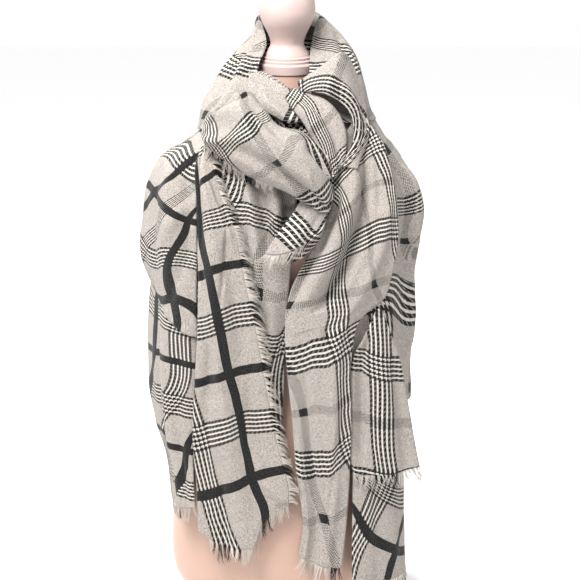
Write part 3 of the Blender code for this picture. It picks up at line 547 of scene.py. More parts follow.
def on_curve(rows, places):
    """The rows at places from 0, the first, to 1, the last, on a smooth curve through them all."""
    rows = np.array(rows, float)
    reach = np.clip(places, 0, 1) * (len(rows) - 1)
    first = np.minimum(reach.astype(int), len(rows) - 2)
    part = (reach - first)[:, None]
    before, start, end, after = (rows[np.clip(first + step, 0, len(rows) - 1)] for step in (-1, 0, 1, 2))
    curve = 2 * before - 5 * start + 4 * end - after + part * (3 * (start - end) + after - before)
    return start + 0.5 * part * (end - before + part * curve)


def evenly(count):
    return np.linspace(0.0, 1.0, count + 1)


# ---- Sections: points across each line, each one's place from 0 to 1, the cloth's depth there ----


def turned_edge(edge, along, out, radius):
    """A folded edge seen end on, from its hidden end out to where it meets the face of the cloth."""
    centre = edge - out * radius
    turns = np.linspace(math.pi, 0.12 * math.pi, 9)
    arc = [centre - along * radius * math.sin(turn) + out * radius * math.cos(turn) for turn in turns]
    flap = [centre - out * radius + along * FLAP * part for part in (1, 0.66, 0.33)]
    return flap + arc


def panel(rows, columns, left_turn=0.0, right_turn=0.0, hem=None):
    """A flat panel, a little crowned, with a folded edge on each side that has a turn."""
    left, right, bulge, sag = rows[:, 0:3], rows[:, 3:6], rows[:, 6], rows[:, 7]
    along = unit(right - left)
    out = unit(FORWARD - along * (along @ FORWARD)[:, None])
    first, last = left + along * left_turn, right - along * right_turn
    width = np.linalg.norm(last - first, axis=1)
    points, across, depth = [], [], []
    for part in evenly(columns):
        crown = math.sin(math.pi * part)
        share = np.interp(part, *zip(*hem)) if hem else math.sin(math.pi * part**0.8)
        drop = np.outer(sag * share, (0, 0, 1))
        points.append(first + (last - first) * part + out * (bulge * crown)[:, None] - drop)
        across.append(part)
        doubled = np.where(part * width < 2 * FLAP, left_turn, 0)
        doubled = np.maximum(doubled, np.where((1 - part) * width < 2 * FLAP, right_turn, 0))
        depth.append(WALL + 2 * doubled)
    left_fold = turned_edge(first, along, out, left_turn) if left_turn else []
    right_fold = turned_edge(last, -along, out, right_turn) if right_turn else []
    hidden = np.full(len(rows), np.nan)
    points = left_fold + points + right_fold[::-1]
    across = [0.0] * len(left_fold) + across + [1.0] * len(right_fold)
    depth = [hidden] * len(left_fold) + depth + [hidden] * len(right_fold)
    return np.stack(points, 1), np.array(across), np.stack(depth, 1)


def roll(rows, columns):
    """Over a roll of cloth, half round, from its top edge to its foot."""
    top, foot, bulge = rows[:, 0:3], rows[:, 3:6], rows[:, 6]
    along = unit(foot - top)
    out = unit(ROLL_FACES - along * (along @ ROLL_FACES)[:, None])
    points = []
    for turn in math.pi * evenly(columns):
        across = 0.5 - 0.5 * math.cos(turn)
        points.append(top + (foot - top) * across + out * (bulge * math.sin(turn))[:, None])
    return np.stack(points, 1), evenly(columns), np.full((len(rows), columns + 1), WALL)


def carried(rows, columns):
    """Round the form through its turning points, on a quarter of an oval between each two."""
    turns = rows.reshape(len(rows), -1, 3)
    quarters = turns.shape[1] - 1
    points = []
    for reach in evenly(columns) * quarters:
        index = min(int(reach), quarters - 1)
        start, end = turns[:, index], turns[:, index + 1]
        angle = (reach - index) * math.pi / 2
        rise, fall = math.sin(angle) ** ROUNDNESS, max(math.cos(angle), 0) ** ROUNDNESS
        blend = 0.5 - 0.5 * math.cos(2 * angle)
        x_part, y_part = (rise, 1 - fall) if index % 2 == 0 else (1 - fall, rise)
        points.append(start + (end - start) * (x_part, y_part, blend))
    return np.stack(points, 1), evenly(columns), np.full((len(rows), columns + 1), WALL)


# ---- Surfaces ----


def fold_height(folds, across, down):
    """How far the cloth stands out at each place down and across its stretch."""
    height = np.zeros((len(down), len(across)))
    for fold in folds:
        reach = (down - fold.top) / (fold.foot - fold.top)
        inside = np.clip(reach, 0, 1)
        middle = fold.across_top + (fold.across_foot - fold.across_top) * inside
        away = (across[None, :] - middle[:, None]) / fold.half_width
        height += fold.height * np.sqrt(np.sin(math.pi * inside).clip(0))[:, None] * np.exp(-away**2)
    return height


def steps(points, axis):
    """The distances between neighbouring points of a grid along one axis."""
    return np.linalg.norm(np.diff(points, axis=axis), axis=2)


def normals_of(points):
    return unit(np.cross(np.gradient(points, axis=1), np.gradient(points, axis=0)))


def ripple(points, size, height):
    """A gentle unevenness of the cloth, the same each run."""
    flat = points.reshape(-1, 3) / size
    values = [noise.noise(Vector(point)) + 0.5 * noise.noise(Vector(point * 2.3)) for point in flat]
    return np.array(values).reshape(points.shape[:2]) * height


def first_hit(trees, start, way, reach):
    """How far off the nearest surface lies along a way, or the reach where there is none within it."""
    hits = [tree.ray_cast(start, way, reach)[3] for tree in trees]
    return min((hit for hit in hits if hit is not None), default=reach)


class Stretch:
    """One stretch of cloth as a grid of points, its outward normals and its depth."""

    def __init__(self, name, rows, section, outward, ripple_height):
        self.name, self.outward = name, outward
        coarse = section(on_curve(rows, evenly(COARSE)), COARSE)[0]
        self.lines = round(steps(coarse, 0).sum(0).mean() / GRID)
        columns = round(steps(coarse, 1).sum(1).max() / GRID)
        places = evenly(self.lines)
        points, across, self.depth = section(on_curve(rows, places), columns)
        normals = normals_of(points)
        self.side = 1 if (normals * points * (1, 1, 0)).sum() > 0 else -1
        self.normals = normals * self.side
        height = fold_height(FOLDS.get(name, ()), across, places)
        height += ripple(points, RIPPLE_LENGTH, ripple_height)
        self.shown = np.flatnonzero(~np.isnan(self.depth[0]))
        # a folded edge's hidden columns move with the nearest shown one
        self.twin = np.clip(np.arange(len(across)), self.shown[0], self.shown[-1])
        self.points = points + (self.normals * height[..., None])[:, self.twin]

    def lay_over(self, under):
        """Moves points outward where they would lie closer than CLEAR to what is under them."""
        lines, wide = self.points.shape[:2]
        least = np.zeros((lines, wide))
        ways = self.outward(self.points)
        for i in range(lines):
            for j in self.shown:
                way = Vector(ways[i, j])
                reach = LIFT + self.depth[i, j] + CLEAR
                least[i, j] = reach - first_hit(under, Vector(self.points[i, j]) + way * LIFT, -way, reach)
        spread = least
        for _ in range(SMOOTHINGS):
            padded = np.pad(spread, 1, mode="edge")
            mean = sum(padded[a:a + lines, b:b + wide] for a in range(3) for b in range(3)) / 9
            spread = np.maximum(least, mean)
        self.points = self.points + ways[:, self.twin] * spread[:, self.twin, None]
        self.normals = normals_of(self.points) * self.side

    def tree(self):
        """The stretch's faces, for the search for what lies under the stretches over it."""
        lines, wide = self.points.shape[:2]
        self.faces = [
            (i * wide + j, i * wide + j + 1, (i + 1) * wide + j + 1, (i + 1) * wide + j)
            for i in range(lines - 1) for j in range(wide - 1)
        ]
        return BVHTree.FromPolygons([Vector(point) for point in self.points.reshape(-1, 3)], self.faces)


def ahead(points):
    return np.broadcast_to(FORWARD, points.shape)


def from_heart(height):
    """Directions outward from the form's middle, level below this height and rising above it."""
    def outward(points):
        return unit(np.stack((points[..., 0], points[..., 1], (points[..., 2] - height).clip(0)), -1))
    return outward


# ---- Plaid on the cloth ----


def seen(points):
    """Where points are in the camera's frame, in pixels."""
    off = points + (CLOTH_X, 0, 0) - CAMERA_PLACE
    far = off[..., 1] * math.cos(CAMERA_TILT) - off[..., 2] * math.sin(CAMERA_TILT)
    high = off[..., 1] * math.sin(CAMERA_TILT) + off[..., 2] * math.cos(CAMERA_TILT)
    middle = FRAME_PIXELS / 2
    return middle + FOCAL_PIXELS * off[..., 0] / far, middle - FOCAL_PIXELS * high / far


def flat_places(stretch):
    """Each point's place on the flat cloth: how far across from the middle column and how far down."""
    points = stretch.points
    wide = points.shape[1]
    across = np.concatenate((np.zeros((len(points), 1)), np.cumsum(steps(points, 1), 1)), 1)
    across -= across[:, wide // 2:wide // 2 + 1]
    down = np.concatenate((np.zeros((1, wide)), np.cumsum(steps(points, 0), 0)), 0)
    down = np.repeat(down[:, stretch.shown].mean(1, keepdims=True), wide, 1) * 0.5 + down * 0.5
    return across, down


def nearness(here, there, width):
    """How far what is seen at one place holds at another, falling off smoothly."""
    away = np.linalg.norm(here[:, None] - there[None], axis=-1) * math.sqrt(5) / width
    return (1 + away + away**2 / 3) * np.exp(-away)


def fit_threads(stretch, places, pins, slope):
    """Thread numbers over a stretch: even across the cloth, bent gently to pass where threads are seen."""
    across, down = places
    flat = np.stack((across, down), -1).reshape(-1, 2)
    if not pins:
        return (flat @ slope).reshape(across.shape)
    px, py = (value.ravel() for value in seen(stretch.points))
    facing = (stretch.normals * (CAMERA_PLACE - stretch.points)).sum(-1).ravel() > 0
    spots, values = [], []
    for pin in pins:
        gap = np.hypot(px - pin.px, py - pin.py) + np.where(facing, 0, FACING_AWAY)
        close = np.argsort(gap)[:NEAREST]
        weight = 1 / (gap[close] + 0.3)
        spots.append((flat[close] * weight[:, None]).sum(0) / weight.sum())
        values.append(pin.thread)
    spots, values = np.array(spots), np.array(values, float)
    middle = spots.mean(0)
    base = np.hstack((spots - middle, np.ones((len(spots), 1))))
    size = np.ptp(flat, axis=0).max()
    # where threads are seen on less of the cloth, the weave bends less far and is held even more
    known = min(1.0, np.ptp(spots, axis=0).max() / size)
    width = BEND_WIDTH * REPEAT * max(0.5, known)
    pull = HELD_EVEN * size * (1 if known > 0.6 else 3)
    prior = np.array((*slope, 0))
    hold = np.diag((pull**2, pull**2, 1e-6))
    plain = np.linalg.solve(base.T @ base + hold, base.T @ values + hold @ prior)
    near = nearness(spots, spots, width) + GIVE * np.eye(len(spots))
    bend = np.linalg.solve(near, values - base @ plain)
    every = np.hstack((flat - middle, np.ones((len(flat), 1))))
    return (every @ plain + nearness(flat, spots, width) @ bend).reshape(across.shape)


def threads_of(stretch, tilt, first_warp, first_weft):
    """The warp and weft thread numbers at each point of a stretch, in repeats."""
    turn = math.radians(tilt)
    warp_slope = np.array((math.cos(turn), math.sin(turn))) / REPEAT
    weft_slope = np.array((-math.sin(turn), math.cos(turn))) / REPEAT
    places = flat_places(stretch)
    name = stretch.name
    warp = fit_threads(stretch, places, WARP_SEEN.get(name), warp_slope)
    weft = fit_threads(stretch, places, WEFT_SEEN.get(name), weft_slope)
    return np.stack((warp + first_warp, weft + first_weft), -1)


# ---- Meshes ----


def new_object(name, data):
    made = bpy.data.objects.new(name, data)
    bpy.context.scene.collection.objects.link(made)
    return made


def add_mesh(name, points, faces, uvs=None):
    mesh = bpy.data.meshes.new(name)
    shifted = (np.asarray(points).reshape(-1, 3) + (CLOTH_X, 0, 0)) * MM
    mesh.from_pydata(shifted.tolist(), [], faces)
    if uvs is not None:
        layer = mesh.uv_layers.new(name="weave")
        corners = np.empty(len(mesh.loops), np.int32)
        mesh.loops.foreach_get("vertex_index", corners)
        layer.data.foreach_set("uv", np.asarray(uvs, np.float32).reshape(-1, 2)[corners].ravel())
    mesh.shade_smooth()
    return new_object(name, mesh)


def cloth_piece(stretch, threads, looks):
    lines, wide = stretch.points.shape[:2]
    faces = stretch.faces if stretch.side > 0 else [face[::-1] for face in stretch.faces]
    piece = add_mesh(stretch.name + "_cloth", stretch.points, faces, threads)
    for look in looks:
        piece.data.materials.append(look)
    wall = piece.modifiers.new("wall", "SOLIDIFY")
    wall.thickness = WALL * MM
    wall.offset = -1  # inward
    wall.use_even_offset = False
    wall.material_offset = 1
    wall.material_offset_rim = 1
    return piece


def scatter(number, seed):
    """A value from -1 to 1 for each whole number, the same each run: the tail of a large sine."""
    value = np.sin(number * 12.9898 + seed * 78.233) * 43758.5453
    return 2 * (value - np.floor(value)) - 1


def ring_faces(rings, around, first=0):
    """The side faces between rings of points, numbered from first."""
    faces = []
    for ring in range(rings - 1):
        low, high = first + ring * around, first + (ring + 1) * around
        for side in range(around):
            beyond = (side + 1) % around
            faces.append((low + side, low + beyond, high + beyond, high + side))
    return faces


def strand_rings(spine, sideways, out):
    """Points in rings round a strand's spine, thinner towards its loose end."""
    points = []
    for part, spot in zip(evenly(STRAND_STATIONS), spine):
        radius = STRAND_RADIUS * (1 - STRAND_TAPER * part)
        for side in range(STRAND_SIDES):
            turn = 2 * math.pi * side / STRAND_SIDES
            points.append(spot + (sideways * math.cos(turn) + out * math.sin(turn)) * radius)
    return points


def strands(fringe, edge, under, outward, look):
    """Loose yarn ends standing out from a cloth's edge, gathered in locks of one colour."""
    spots, ways, outs, ends = edge
    run = np.concatenate(([0], np.cumsum(np.linalg.norm(np.diff(spots, axis=0), axis=1))))
    count = round(run[-1] / fringe.pitch)
    order = np.arange(count)
    places = run[-1] * (order + 0.5 + 0.3 * scatter(order, 1)) / count

    def along_edge(values):
        return np.stack([np.interp(places, run, values[:, axis]) for axis in range(values.shape[1])], -1)

    roots, threads = along_edge(spots), along_edge(ends)
    ways, outs, edgewise = (unit(along_edge(values)) for values in (ways, outs, np.gradient(spots, axis=0)))
    yarn = threads[:, AXES.index(fringe.runs_out)] * YARNS - GLEN_START
    lock = 2 * np.floor(yarn / LINE_YARNS) + (yarn % LINE_YARNS >= DARK_YARNS)
    middle = np.array([places[lock == one].mean() for one in lock])
    # each strand differs a little from its lock, and each lock from the next
    reach = fringe.length * (0.8 + 0.14 * scatter(order, 4) + 0.2 * scatter(lock, 6))
    swing = 0.3 * scatter(lock, 7) + 0.14 * scatter(order, 2)
    curl = 0.4 * scatter(lock, 8) + 0.12 * scatter(order, 3)
    stand = 0.12 * scatter(lock, 9) + 0.05 * scatter(order, 5)
    part = evenly(STRAND_STATIONS)[:, None]
    points, faces = [], []
    for one in range(count):
        spine = roots[one] + ways[one] * (reach[one] * part * (1 - 0.45 * fringe.droop * part) - STRAND_ROOT)
        spine = spine - np.array((0, 0, 1)) * reach[one] * fringe.droop * part**1.5
        sideways = (middle[one] - places[one]) * 0.8 * part
        sideways = sideways + reach[one] * (swing[one] * part + curl[one] * part**2)
        spine = spine + edgewise[one] * sideways + outs[one] * reach[one] * stand[one] * part
        facing = outward(spine)
        lift = 0.0
        for station in CLEAR_STATIONS:
            way = Vector(facing[station])
            start = Vector(spine[station]) + way * LIFT
            short = LIFT + STRAND_CLEAR - first_hit(under, start, -way, LIFT + STRAND_CLEAR)
            lift = max(lift, short / part[station, 0])
        faces += ring_faces(STRAND_STATIONS + 1, STRAND_SIDES, len(points))
        points += strand_rings(spine + facing * lift * part, edgewise[one], outs[one])
    uvs = np.repeat(threads, (STRAND_STATIONS + 1) * STRAND_SIDES, axis=0)
    piece = add_mesh(fringe.name + "_yarn", points, faces, uvs)
    piece.data.materials.append(look)
    return piece


def edge_of(points, normals, before, threads):
    """An edge's points in the middle of the wall, the ways off the cloth, the normals and the threads."""
    return points - normals * WALL / 2, unit(points - before), normals, threads


def hem_edge(stretch, threads, start, end):
    """The bottom edge of a stretch, for its fringe, from one place across it to another."""
    first, last = (stretch.shown[0] + round((len(stretch.shown) - 1) * place) for place in (start, end))
    part = slice(first, last + 1)
    points, normals = stretch.points, stretch.normals
    return edge_of(points[-1, part], normals[-1, part], points[-3, part], threads[-1, part])


def side_edge(stretch, threads, start, end):
    """The last-column edge of a stretch, for its fringe, from one place down it to another."""
    first, last = (round(stretch.lines * place) for place in (start, end))
    part = slice(first, last + 1)
    points, normals = stretch.points, stretch.normals
    return edge_of(points[part, -1], normals[part, -1], points[part, -3], threads[part, -1])


# ---- Materials ----


def arithmetic(operation, swapped=False):
    """The work of one sign between a material's value and another value or a number."""
    def work_out(self, other):
        return self.nodes.maths(operation, *((other, self) if swapped else (self, other)))
    return work_out


class Value:
    """A value worked out by a material's nodes. The sign | gives the larger of two, which joins two marks."""

    __add__ = __radd__ = arithmetic("ADD")
    __mul__ = __rmul__ = arithmetic("MULTIPLY")
    __sub__ = arithmetic("SUBTRACT")
    __rsub__ = arithmetic("SUBTRACT", swapped=True)
    __truediv__ = arithmetic("DIVIDE")
    __mod__ = arithmetic("FLOORED_MODULO")
    __lt__ = arithmetic("LESS_THAN")
    __gt__ = arithmetic("GREATER_THAN")
    __or__ = arithmetic("MAXIMUM")

    def __init__(self, nodes, socket):
        self.nodes, self.socket = nodes, socket


class Nodes:
    """A material's node tree, with short calls for the nodes used here."""

    def __init__(self, name):
        self.material = bpy.data.materials.new(name)
        self.material.use_nodes = True
        self.tree = self.material.node_tree
        self.shader = self.tree.nodes["Principled BSDF"]

    def join(self, value, socket):
        if isinstance(value, Value):
            self.tree.links.new(value.socket, socket)
        else:
            socket.default_value = value

    def node(self, kind, inputs, **settings):
        """A new node's outputs. Its inputs are values or numbers by their sockets' names or places."""
        made = self.tree.nodes.new("ShaderNode" + kind)
        for setting, value in settings.items():
            setattr(made, setting, value)
        for socket, value in inputs.items():
            self.join(value, made.inputs[socket])
        return [Value(self, output) for output in made.outputs]

    def maths(self, operation, *values):
        return self.node("Math", dict(enumerate(values)), operation=operation)[0]

    def blend(self, part, first, second):
        """A colour between two, the first where the part is 0 and the second where it is 1."""
        colours = {0: part, 6: first, 7: second}  # the places of the Mix node's sockets for colours
        return self.node("Mix", colours, data_type="RGBA")[2]

    def noise(self, vector, scale, detail=2.0):
        return self.node("TexNoise", {"Vector": vector, "Scale": scale, "Detail": detail})[0]

    def vector(self, x, y):
        return self.node("CombineXYZ", {"X": x, "Y": y})[0]

    def solid(self):
        """The place in the scene, in metres."""
        return self.node("NewGeometry", {})[0]

    def surface(self, colour, height, finish, strength, distance):
        """The material with its colour, a bump and the finish, which is the shader's other inputs."""
        bump = self.node("Bump", {"Height": height, "Strength": strength, "Distance": distance})[0]
        for socket, value in {"Base Color": colour, "Normal": bump, **finish}.items():
            self.join(value, self.shader.inputs[socket])
        return self.material


def thread_plan(nodes, yarn):
    """Which thread of the plan each yarn is: marks for dark lines, for white lines and for bold stripes."""
    dark_line, white_line, bold, ground = (1, 0, 0, 1), (0, 1, 0, 1), (0, 0, 1, 1), (0, 0, 0, 1)
    plan = [(BOLD_HALF, ground)]
    for start in range(GLEN_START, GLEN_START + LINE_YARNS * GLEN_LINES, LINE_YARNS):
        plan += [(start, dark_line), (start + DARK_YARNS, white_line)]
    plan[-1] = (start + DARK_YARNS, ground)
    plan.append((YARNS - BOLD_HALF, bold))
    colour = nodes.node("ValToRGB", {"Fac": (yarn + 0.5) / YARNS % 1})[0]
    ramp = colour.socket.node.color_ramp
    ramp.interpolation = "CONSTANT"
    for element in ramp.elements:
        element.color = bold
    for first, mark in plan:
        ramp.elements.new(first / YARNS).color = mark
    return nodes.node("SeparateColor", {0: colour})


def yarn_numbers(nodes):
    """The cloth's own coordinates in yarns, along and across."""
    split = nodes.node("SeparateXYZ", {0: nodes.node("UVMap", {}, uv_map="weave")[0]})
    return [place * YARNS for place in split[:2]]


def heather(nodes, yarn, along):
    """The mixed pale and grey fibres of the ground, changing from yarn to yarn and along each."""
    streaks = nodes.noise(nodes.vector(yarn * 0.83, along * 0.22), scale=1.0)
    fibres = nodes.noise(nodes.solid(), FIBRE_SCALE)
    grey = streaks * 1.1 + fibres * 1.7 - 1.02  # from a little under 0 to a little over 1
    return nodes.blend(grey, linear(GROUND_PALE), linear(GROUND_GREY))


def woven_wool(name, bold_shown):
    """Twill-woven plaid. One face has dark bold stripes, and on the other they are dotted grey bands."""
    nodes = Nodes(name)
    places = yarn_numbers(nodes)
    warp, weft = (nodes.maths("FLOOR", place) for place in places)
    warp_dark, warp_white, warp_bold = thread_plan(nodes, warp)
    weft_dark, weft_white, weft_bold = thread_plan(nodes, weft)
    step = (warp + weft) % TWILL
    over = step < WARP_UP

    # away from the crossings the fine lines are heavier
    warp_alone, weft_alone = 1 - (weft_dark | weft_white), 1 - (warp_dark | warp_white)
    warp_over = step < warp_alone * ALONE_UP + WARP_UP
    weft_over = step > weft_alone * -ALONE_UP + WARP_UP
    dark = warp_dark * warp_over | weft_dark * weft_over
    white = warp_white * warp_over | weft_white * weft_over
    bold = warp_bold | weft_bold
    if not bold_shown:
        crossings = warp_bold * weft_bold | bold * (warp_dark | weft_dark)
        dots = (weft * 3 + warp) % DOTS_APART < DOT_YARNS
        bold = bold * dots | crossings

    colour = nodes.blend(over, heather(nodes, weft, places[0]), heather(nodes, warp, places[1]))
    colour = nodes.blend(white * 0.75, colour, linear(WHITE_YARN))
    cloth = nodes.vector(*places)
    flecks = (nodes.noise(cloth, scale=0.55) > 0.52) * 0.8
    colour = nodes.blend(dark | bold, colour, nodes.blend(flecks, linear(DARK_YARN), linear(DARK_FLECK)))
    waves = (nodes.maths("SINE", place * math.pi) for place in places)
    round_warp, round_weft = (nodes.maths("ABSOLUTE", wave) for wave in waves)
    height = round_warp * over + round_weft * (1 - over) + nodes.noise(cloth, scale=0.8, detail=3)
    return nodes.surface(colour, height, WOOL_FINISH, strength=0.5, distance=0.0005)


def loose_yarn(name, runs_out):
    """Fringe, whose ends have the colour of the warp or weft that they come from."""
    nodes = Nodes(name)
    yarn = nodes.maths("FLOOR", yarn_numbers(nodes)[AXES.index(runs_out)])
    dark, white, bold = thread_plan(nodes, yarn)
    grain = nodes.noise(nodes.solid(), GRAIN_SCALE)
    colour = nodes.blend(grain, linear(GROUND_PALE), linear(WHITE_YARN))
    colour = nodes.blend(white * 0.9, colour, linear(WHITE_YARN))
    colour = nodes.blend(dark | bold, colour, linear(DARK_YARN))
    return nodes.surface(colour, grain, WOOL_FINISH, strength=0.4, distance=0.0003)


def smooth_shell(name, colour, roughness, scale, mottle):
    """The form's moulded shell: almost even, with faint blotches and a finely grained surface."""
    nodes = Nodes(name)
    darker = tuple(channel * (1 - mottle) for channel in colour)
    blotched = nodes.blend(nodes.noise(nodes.solid(), scale, detail=3), linear(colour), linear(darker))
    finish = {"Roughness": roughness, "Specular IOR Level": 0.35}
    grain = nodes.noise(nodes.solid(), SHELL_GRAIN_SCALE)
    return nodes.surface(blotched, grain, finish, strength=0.15, distance=0.0003)


# ---- The form ----


def ring_piece(name, rings, look, crease):
    """A closed body through rings of points, with flat ends and its corners over crease degrees sharp."""
    top = (len(rings) - 1) * AROUND
    ends = [tuple(range(AROUND))[::-1], tuple(top + side for side in range(AROUND))]
    points = np.array(rings).reshape(-1, 3) - (CLOTH_X, 0, 0)
    piece = add_mesh(name, points, ends + ring_faces(len(rings), AROUND))
    piece.data.set_sharp_from_angle(angle=math.radians(crease))
    piece.data.materials.append(look)
    return piece


def torso(look):
    """The form's body, of level rounded sections, with its neck's top tipped as the cap is."""
    rings = []
    for z, half_width, front, back, squareness in on_curve(TORSO, evenly(120)):
        power = 2 / squareness
        across, deep = np.cos(ANGLES), np.sin(ANGLES)
        x = half_width * np.sign(across) * np.abs(across) ** power
        y = np.where(deep > 0, back, front) * np.sign(deep) * np.abs(deep) ** power
        tip = math.tan(CAP_LEAN) * max(0, (z - LEAN_START) / (NECK_TOP - LEAN_START))
        rings.append(np.stack((x, y, z + y * tip), -1))
    return ring_piece("dress_form_body", rings, look, 60)


def neck_cap(look):
    """The turned cap on the neck: a stepped flange, a waist and a round knob."""
    foot, knob = CAP[:KNOB_START], on_curve(CAP[KNOB_START:], evenly(60))
    sine, cosine = math.sin(CAP_LEAN), math.cos(CAP_LEAN)
    lean = np.array(((1, 0, 0), (0, cosine, -sine), (0, sine, cosine)))
    rings = []
    for radius, height in [*foot, *knob]:
        ring = np.stack((radius * np.cos(ANGLES), radius * np.sin(ANGLES), np.full(AROUND, height)), -1)
        rings.append(ring @ lean.T + (0, 0, NECK_TOP))
    return ring_piece("dress_form_cap", rings, look, 24)


# ---- Scene ----


def camera():
    lens = bpy.data.cameras.new("camera")
    lens.sensor_width = SENSOR
    lens.lens = FOCAL_PIXELS * SENSOR / FRAME_PIXELS
    made = new_object("camera", lens)
    made.location = CAMERA_PLACE * MM
    made.rotation_euler = (math.pi / 2 - CAMERA_TILT, 0, 0)
    bpy.context.scene.camera = made


def area_light(name, place, target, size, power):
    lamp = bpy.data.lights.new(name, "AREA")
    lamp.size = size
    lamp.energy = power
    made = new_object(name, lamp)
    made.location = place
    made.rotation_euler = (Vector(target) - Vector(place)).to_track_quat("-Z", "Y").to_euler()


def studio():
    world = bpy.data.worlds.new("studio")
    world.use_nodes = True
    world.node_tree.nodes["Background"].inputs["Color"].default_value = (1, 1, 1, 1)
    world.node_tree.nodes["Background"].inputs["Strength"].default_value = 1.0
    bpy.context.scene.world = world
    for light in LIGHTS:
        area_light(*light)
    corners = [(x * FLOOR_HALF, y * FLOOR_HALF, 0) for x, y in ((-1, -1), (1, -1), (1, 1), (-1, 1))]
    mesh = bpy.data.meshes.new("floor")
    mesh.from_pydata(corners, [], [(0, 1, 2, 3)])
    floor = new_object("floor", mesh)
    nodes = Nodes("floor")
    nodes.shader.inputs["Base Color"].default_value = linear(FLOOR_COLOUR)
    nodes.shader.inputs["Roughness"].default_value = 0.8
    mesh.materials.append(nodes.material)
    bpy.context.scene.view_settings.view_transform = "Standard"


# ---- Putting it together ----


def node_tree(name):
    """The faces of a CAD node, for rays, placed as the cloth's points are."""
    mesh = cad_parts[name].data
    points = [vertex.co / MM - Vector((CLOTH_X, 0, 0)) for vertex in mesh.vertices]
    return BVHTree.FromPolygons(points, [face.vertices for face in mesh.polygons])


def centre_on_node(stretch, axis):
    """Moves a stretch along one axis to where its CAD node was seated."""
    low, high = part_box(stretch.name)
    middle = (low[axis] + high[axis]) / 2 / MM
    own = stretch.points[..., axis]
    stretch.points[..., axis] += middle - (own.min() + own.max()) / 2


def bring_to_node(stretch):
    """Moves a stretch back or forward to the front of its CAD node."""
    tree = node_tree(stretch.name)
    gaps = []
    for point in stretch.points[:, stretch.shown].reshape(-1, 3)[::7]:
        start = Vector(point) + Vector(FORWARD) * NODE_SEARCH
        hit = tree.ray_cast(start, -Vector(FORWARD), 2 * NODE_SEARCH)[0]
        if hit is not None:
            gaps.append(hit.y - point[1])
    stretch.points[..., 1] += np.median(gaps)


centre_panel = partial(panel, left_turn=3, right_turn=4)
hemmed_panel = partial(panel, left_turn=4, hem=HEM_STEP)
tuck_panel = partial(panel, right_turn=2)
STRETCHES = table(
    "name rows section outward seat_axis face tilt warp weft ripple held",
    ("long_wrap", LONG_WRAP, carried, from_heart(1000), 1, "dark", 0, 0, 0, 1.2, "draped"),
    ("left_cape", LEFT_CAPE, carried, from_heart(560), 2, "dark", -30, 0, 0, 1.2, "draped"),
    ("right_shoulder", RIGHT_SHOULDER, carried, from_heart(560), 2, "pale", 0, 0, 0, 1.2, "draped"),
    # first_turn shows its dark face so that the bold stripe darkens the hollow under the cowl: painted shade.
    ("first_turn", FIRST_TURN, panel, ahead, None, "dark", -45, 0, 0.3, 1.0, "draped"),
    ("left_inner", LEFT_INNER, panel, ahead, None, "pale", 0, 0, 0, 1.0, "hung"),
    ("right_tail", RIGHT_TAIL, panel, ahead, None, "pale", 0, 0, 0, 1.0, "hung"),
    ("centre_right", CENTRE_RIGHT, centre_panel, ahead, None, "pale", 0, 0, 0, 1.2, "hung"),
    ("left_front", LEFT_FRONT, hemmed_panel, ahead, None, "dark", 0, 0, 0, 1.2, "hung"),
    ("tuck_under", TUCK_UNDER, panel, ahead, None, "dark", 0, 0, 0.2, 0.6, "hung"),
    ("tuck_tail", TUCK_TAIL, tuck_panel, ahead, None, "pale", 0, 0, 0, 0.8, "hung"),
    ("collar", COLLAR, carried, from_heart(720), 2, "pale", 0, 0, 0, 1.2, "draped"),
    ("cowl_inner", COWL_INNER, roll, ahead, None, "pale", 0, 0.2, 0, 0.8, "draped"),
    ("twist_roll", TWIST_ROLL, roll, ahead, None, "pale", 0, 0, 0, 0.8, "draped"),
    ("turned_lip", TURNED_LIP, roll, ahead, None, "pale", 0, 0, 0, 1.0, "draped"),
    ("cowl_front", COWL_FRONT, roll, ahead, None, "pale", 40, 0, 0, 1.4, "draped"),
)
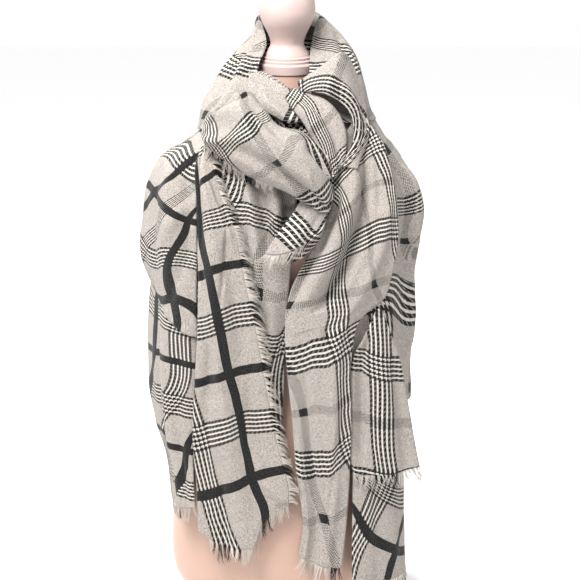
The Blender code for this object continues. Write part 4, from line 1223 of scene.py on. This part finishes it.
FRINGES = table(
    "name cloth edge start end pitch length droop runs_out",
    ("long_wrap_fringe", "long_wrap", hem_edge, 0, 1, 1.4, 23, 0.1, "warp"),
    ("right_tail_fringe", "right_tail", hem_edge, 0, 1, 0.7, 26, 0.1, "warp"),
    ("centre_hem_fringe", "centre_right", hem_edge, 0, 1, 0.7, 28, 0.1, "warp"),
    ("left_front_side_fringe", "left_front", side_edge, 0.02, 0.98, 0.55, 27, 0.55, "weft"),
    ("left_front_hem_fringe", "left_front", hem_edge, 0.1, 1, 0.7, 27, 0.1, "warp"),
    ("tuck_tail_fringe", "tuck_tail", hem_edge, 0, 0.9, 0.7, 22, 0.1, "warp"),
    ("cowl_fringe", "cowl_front", side_edge, 0.08, 0.5, 0.7, 21, 0.4, "warp"),
)


def place_piece(piece, node):
    """Ties a piece to the frame: it rides the one body and replaces its CAD node, which is hidden."""
    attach(piece, "root")
    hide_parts(node)


def dress():
    shell = smooth_shell("form_shell", SHELL, roughness=0.5, scale=9.0, mottle=0.05)
    plastic = smooth_shell("form_cap", CAP_COLOUR, roughness=0.42, scale=12.0, mottle=0.02)
    place_piece(torso(shell), "form_torso")
    place_piece(neck_cap(plastic), "form_neck_cap")
    dark_face, pale_face = woven_wool("wool_dark_face", True), woven_wool("wool_pale_face", False)
    looks = {"dark": (dark_face, pale_face), "pale": (pale_face, dark_face)}
    yarns = {axis: loose_yarn(f"yarn_{axis}", axis) for axis in AXES}
    under = [node_tree("form_torso"), node_tree("form_neck_cap")]
    for row in STRETCHES:
        stretch = Stretch(row.name, row.rows, row.section, row.outward, row.ripple)
        if row.seat_axis is None:
            bring_to_node(stretch)
        else:
            centre_on_node(stretch, row.seat_axis)
        stretch.lay_over(under)
        under.append(stretch.tree())
        threads = threads_of(stretch, row.tilt, row.warp, row.weft)
        piece = cloth_piece(stretch, threads, looks[row.face])
        for fringe in (one for one in FRINGES if one.cloth == row.name):
            edge = fringe.edge(stretch, threads, fringe.start, fringe.end)
            made = strands(fringe, edge, under, row.outward, yarns[fringe.runs_out])
            place_piece(made, fringe.name)
        place_piece(piece, row.name)


camera()
studio()
dress()
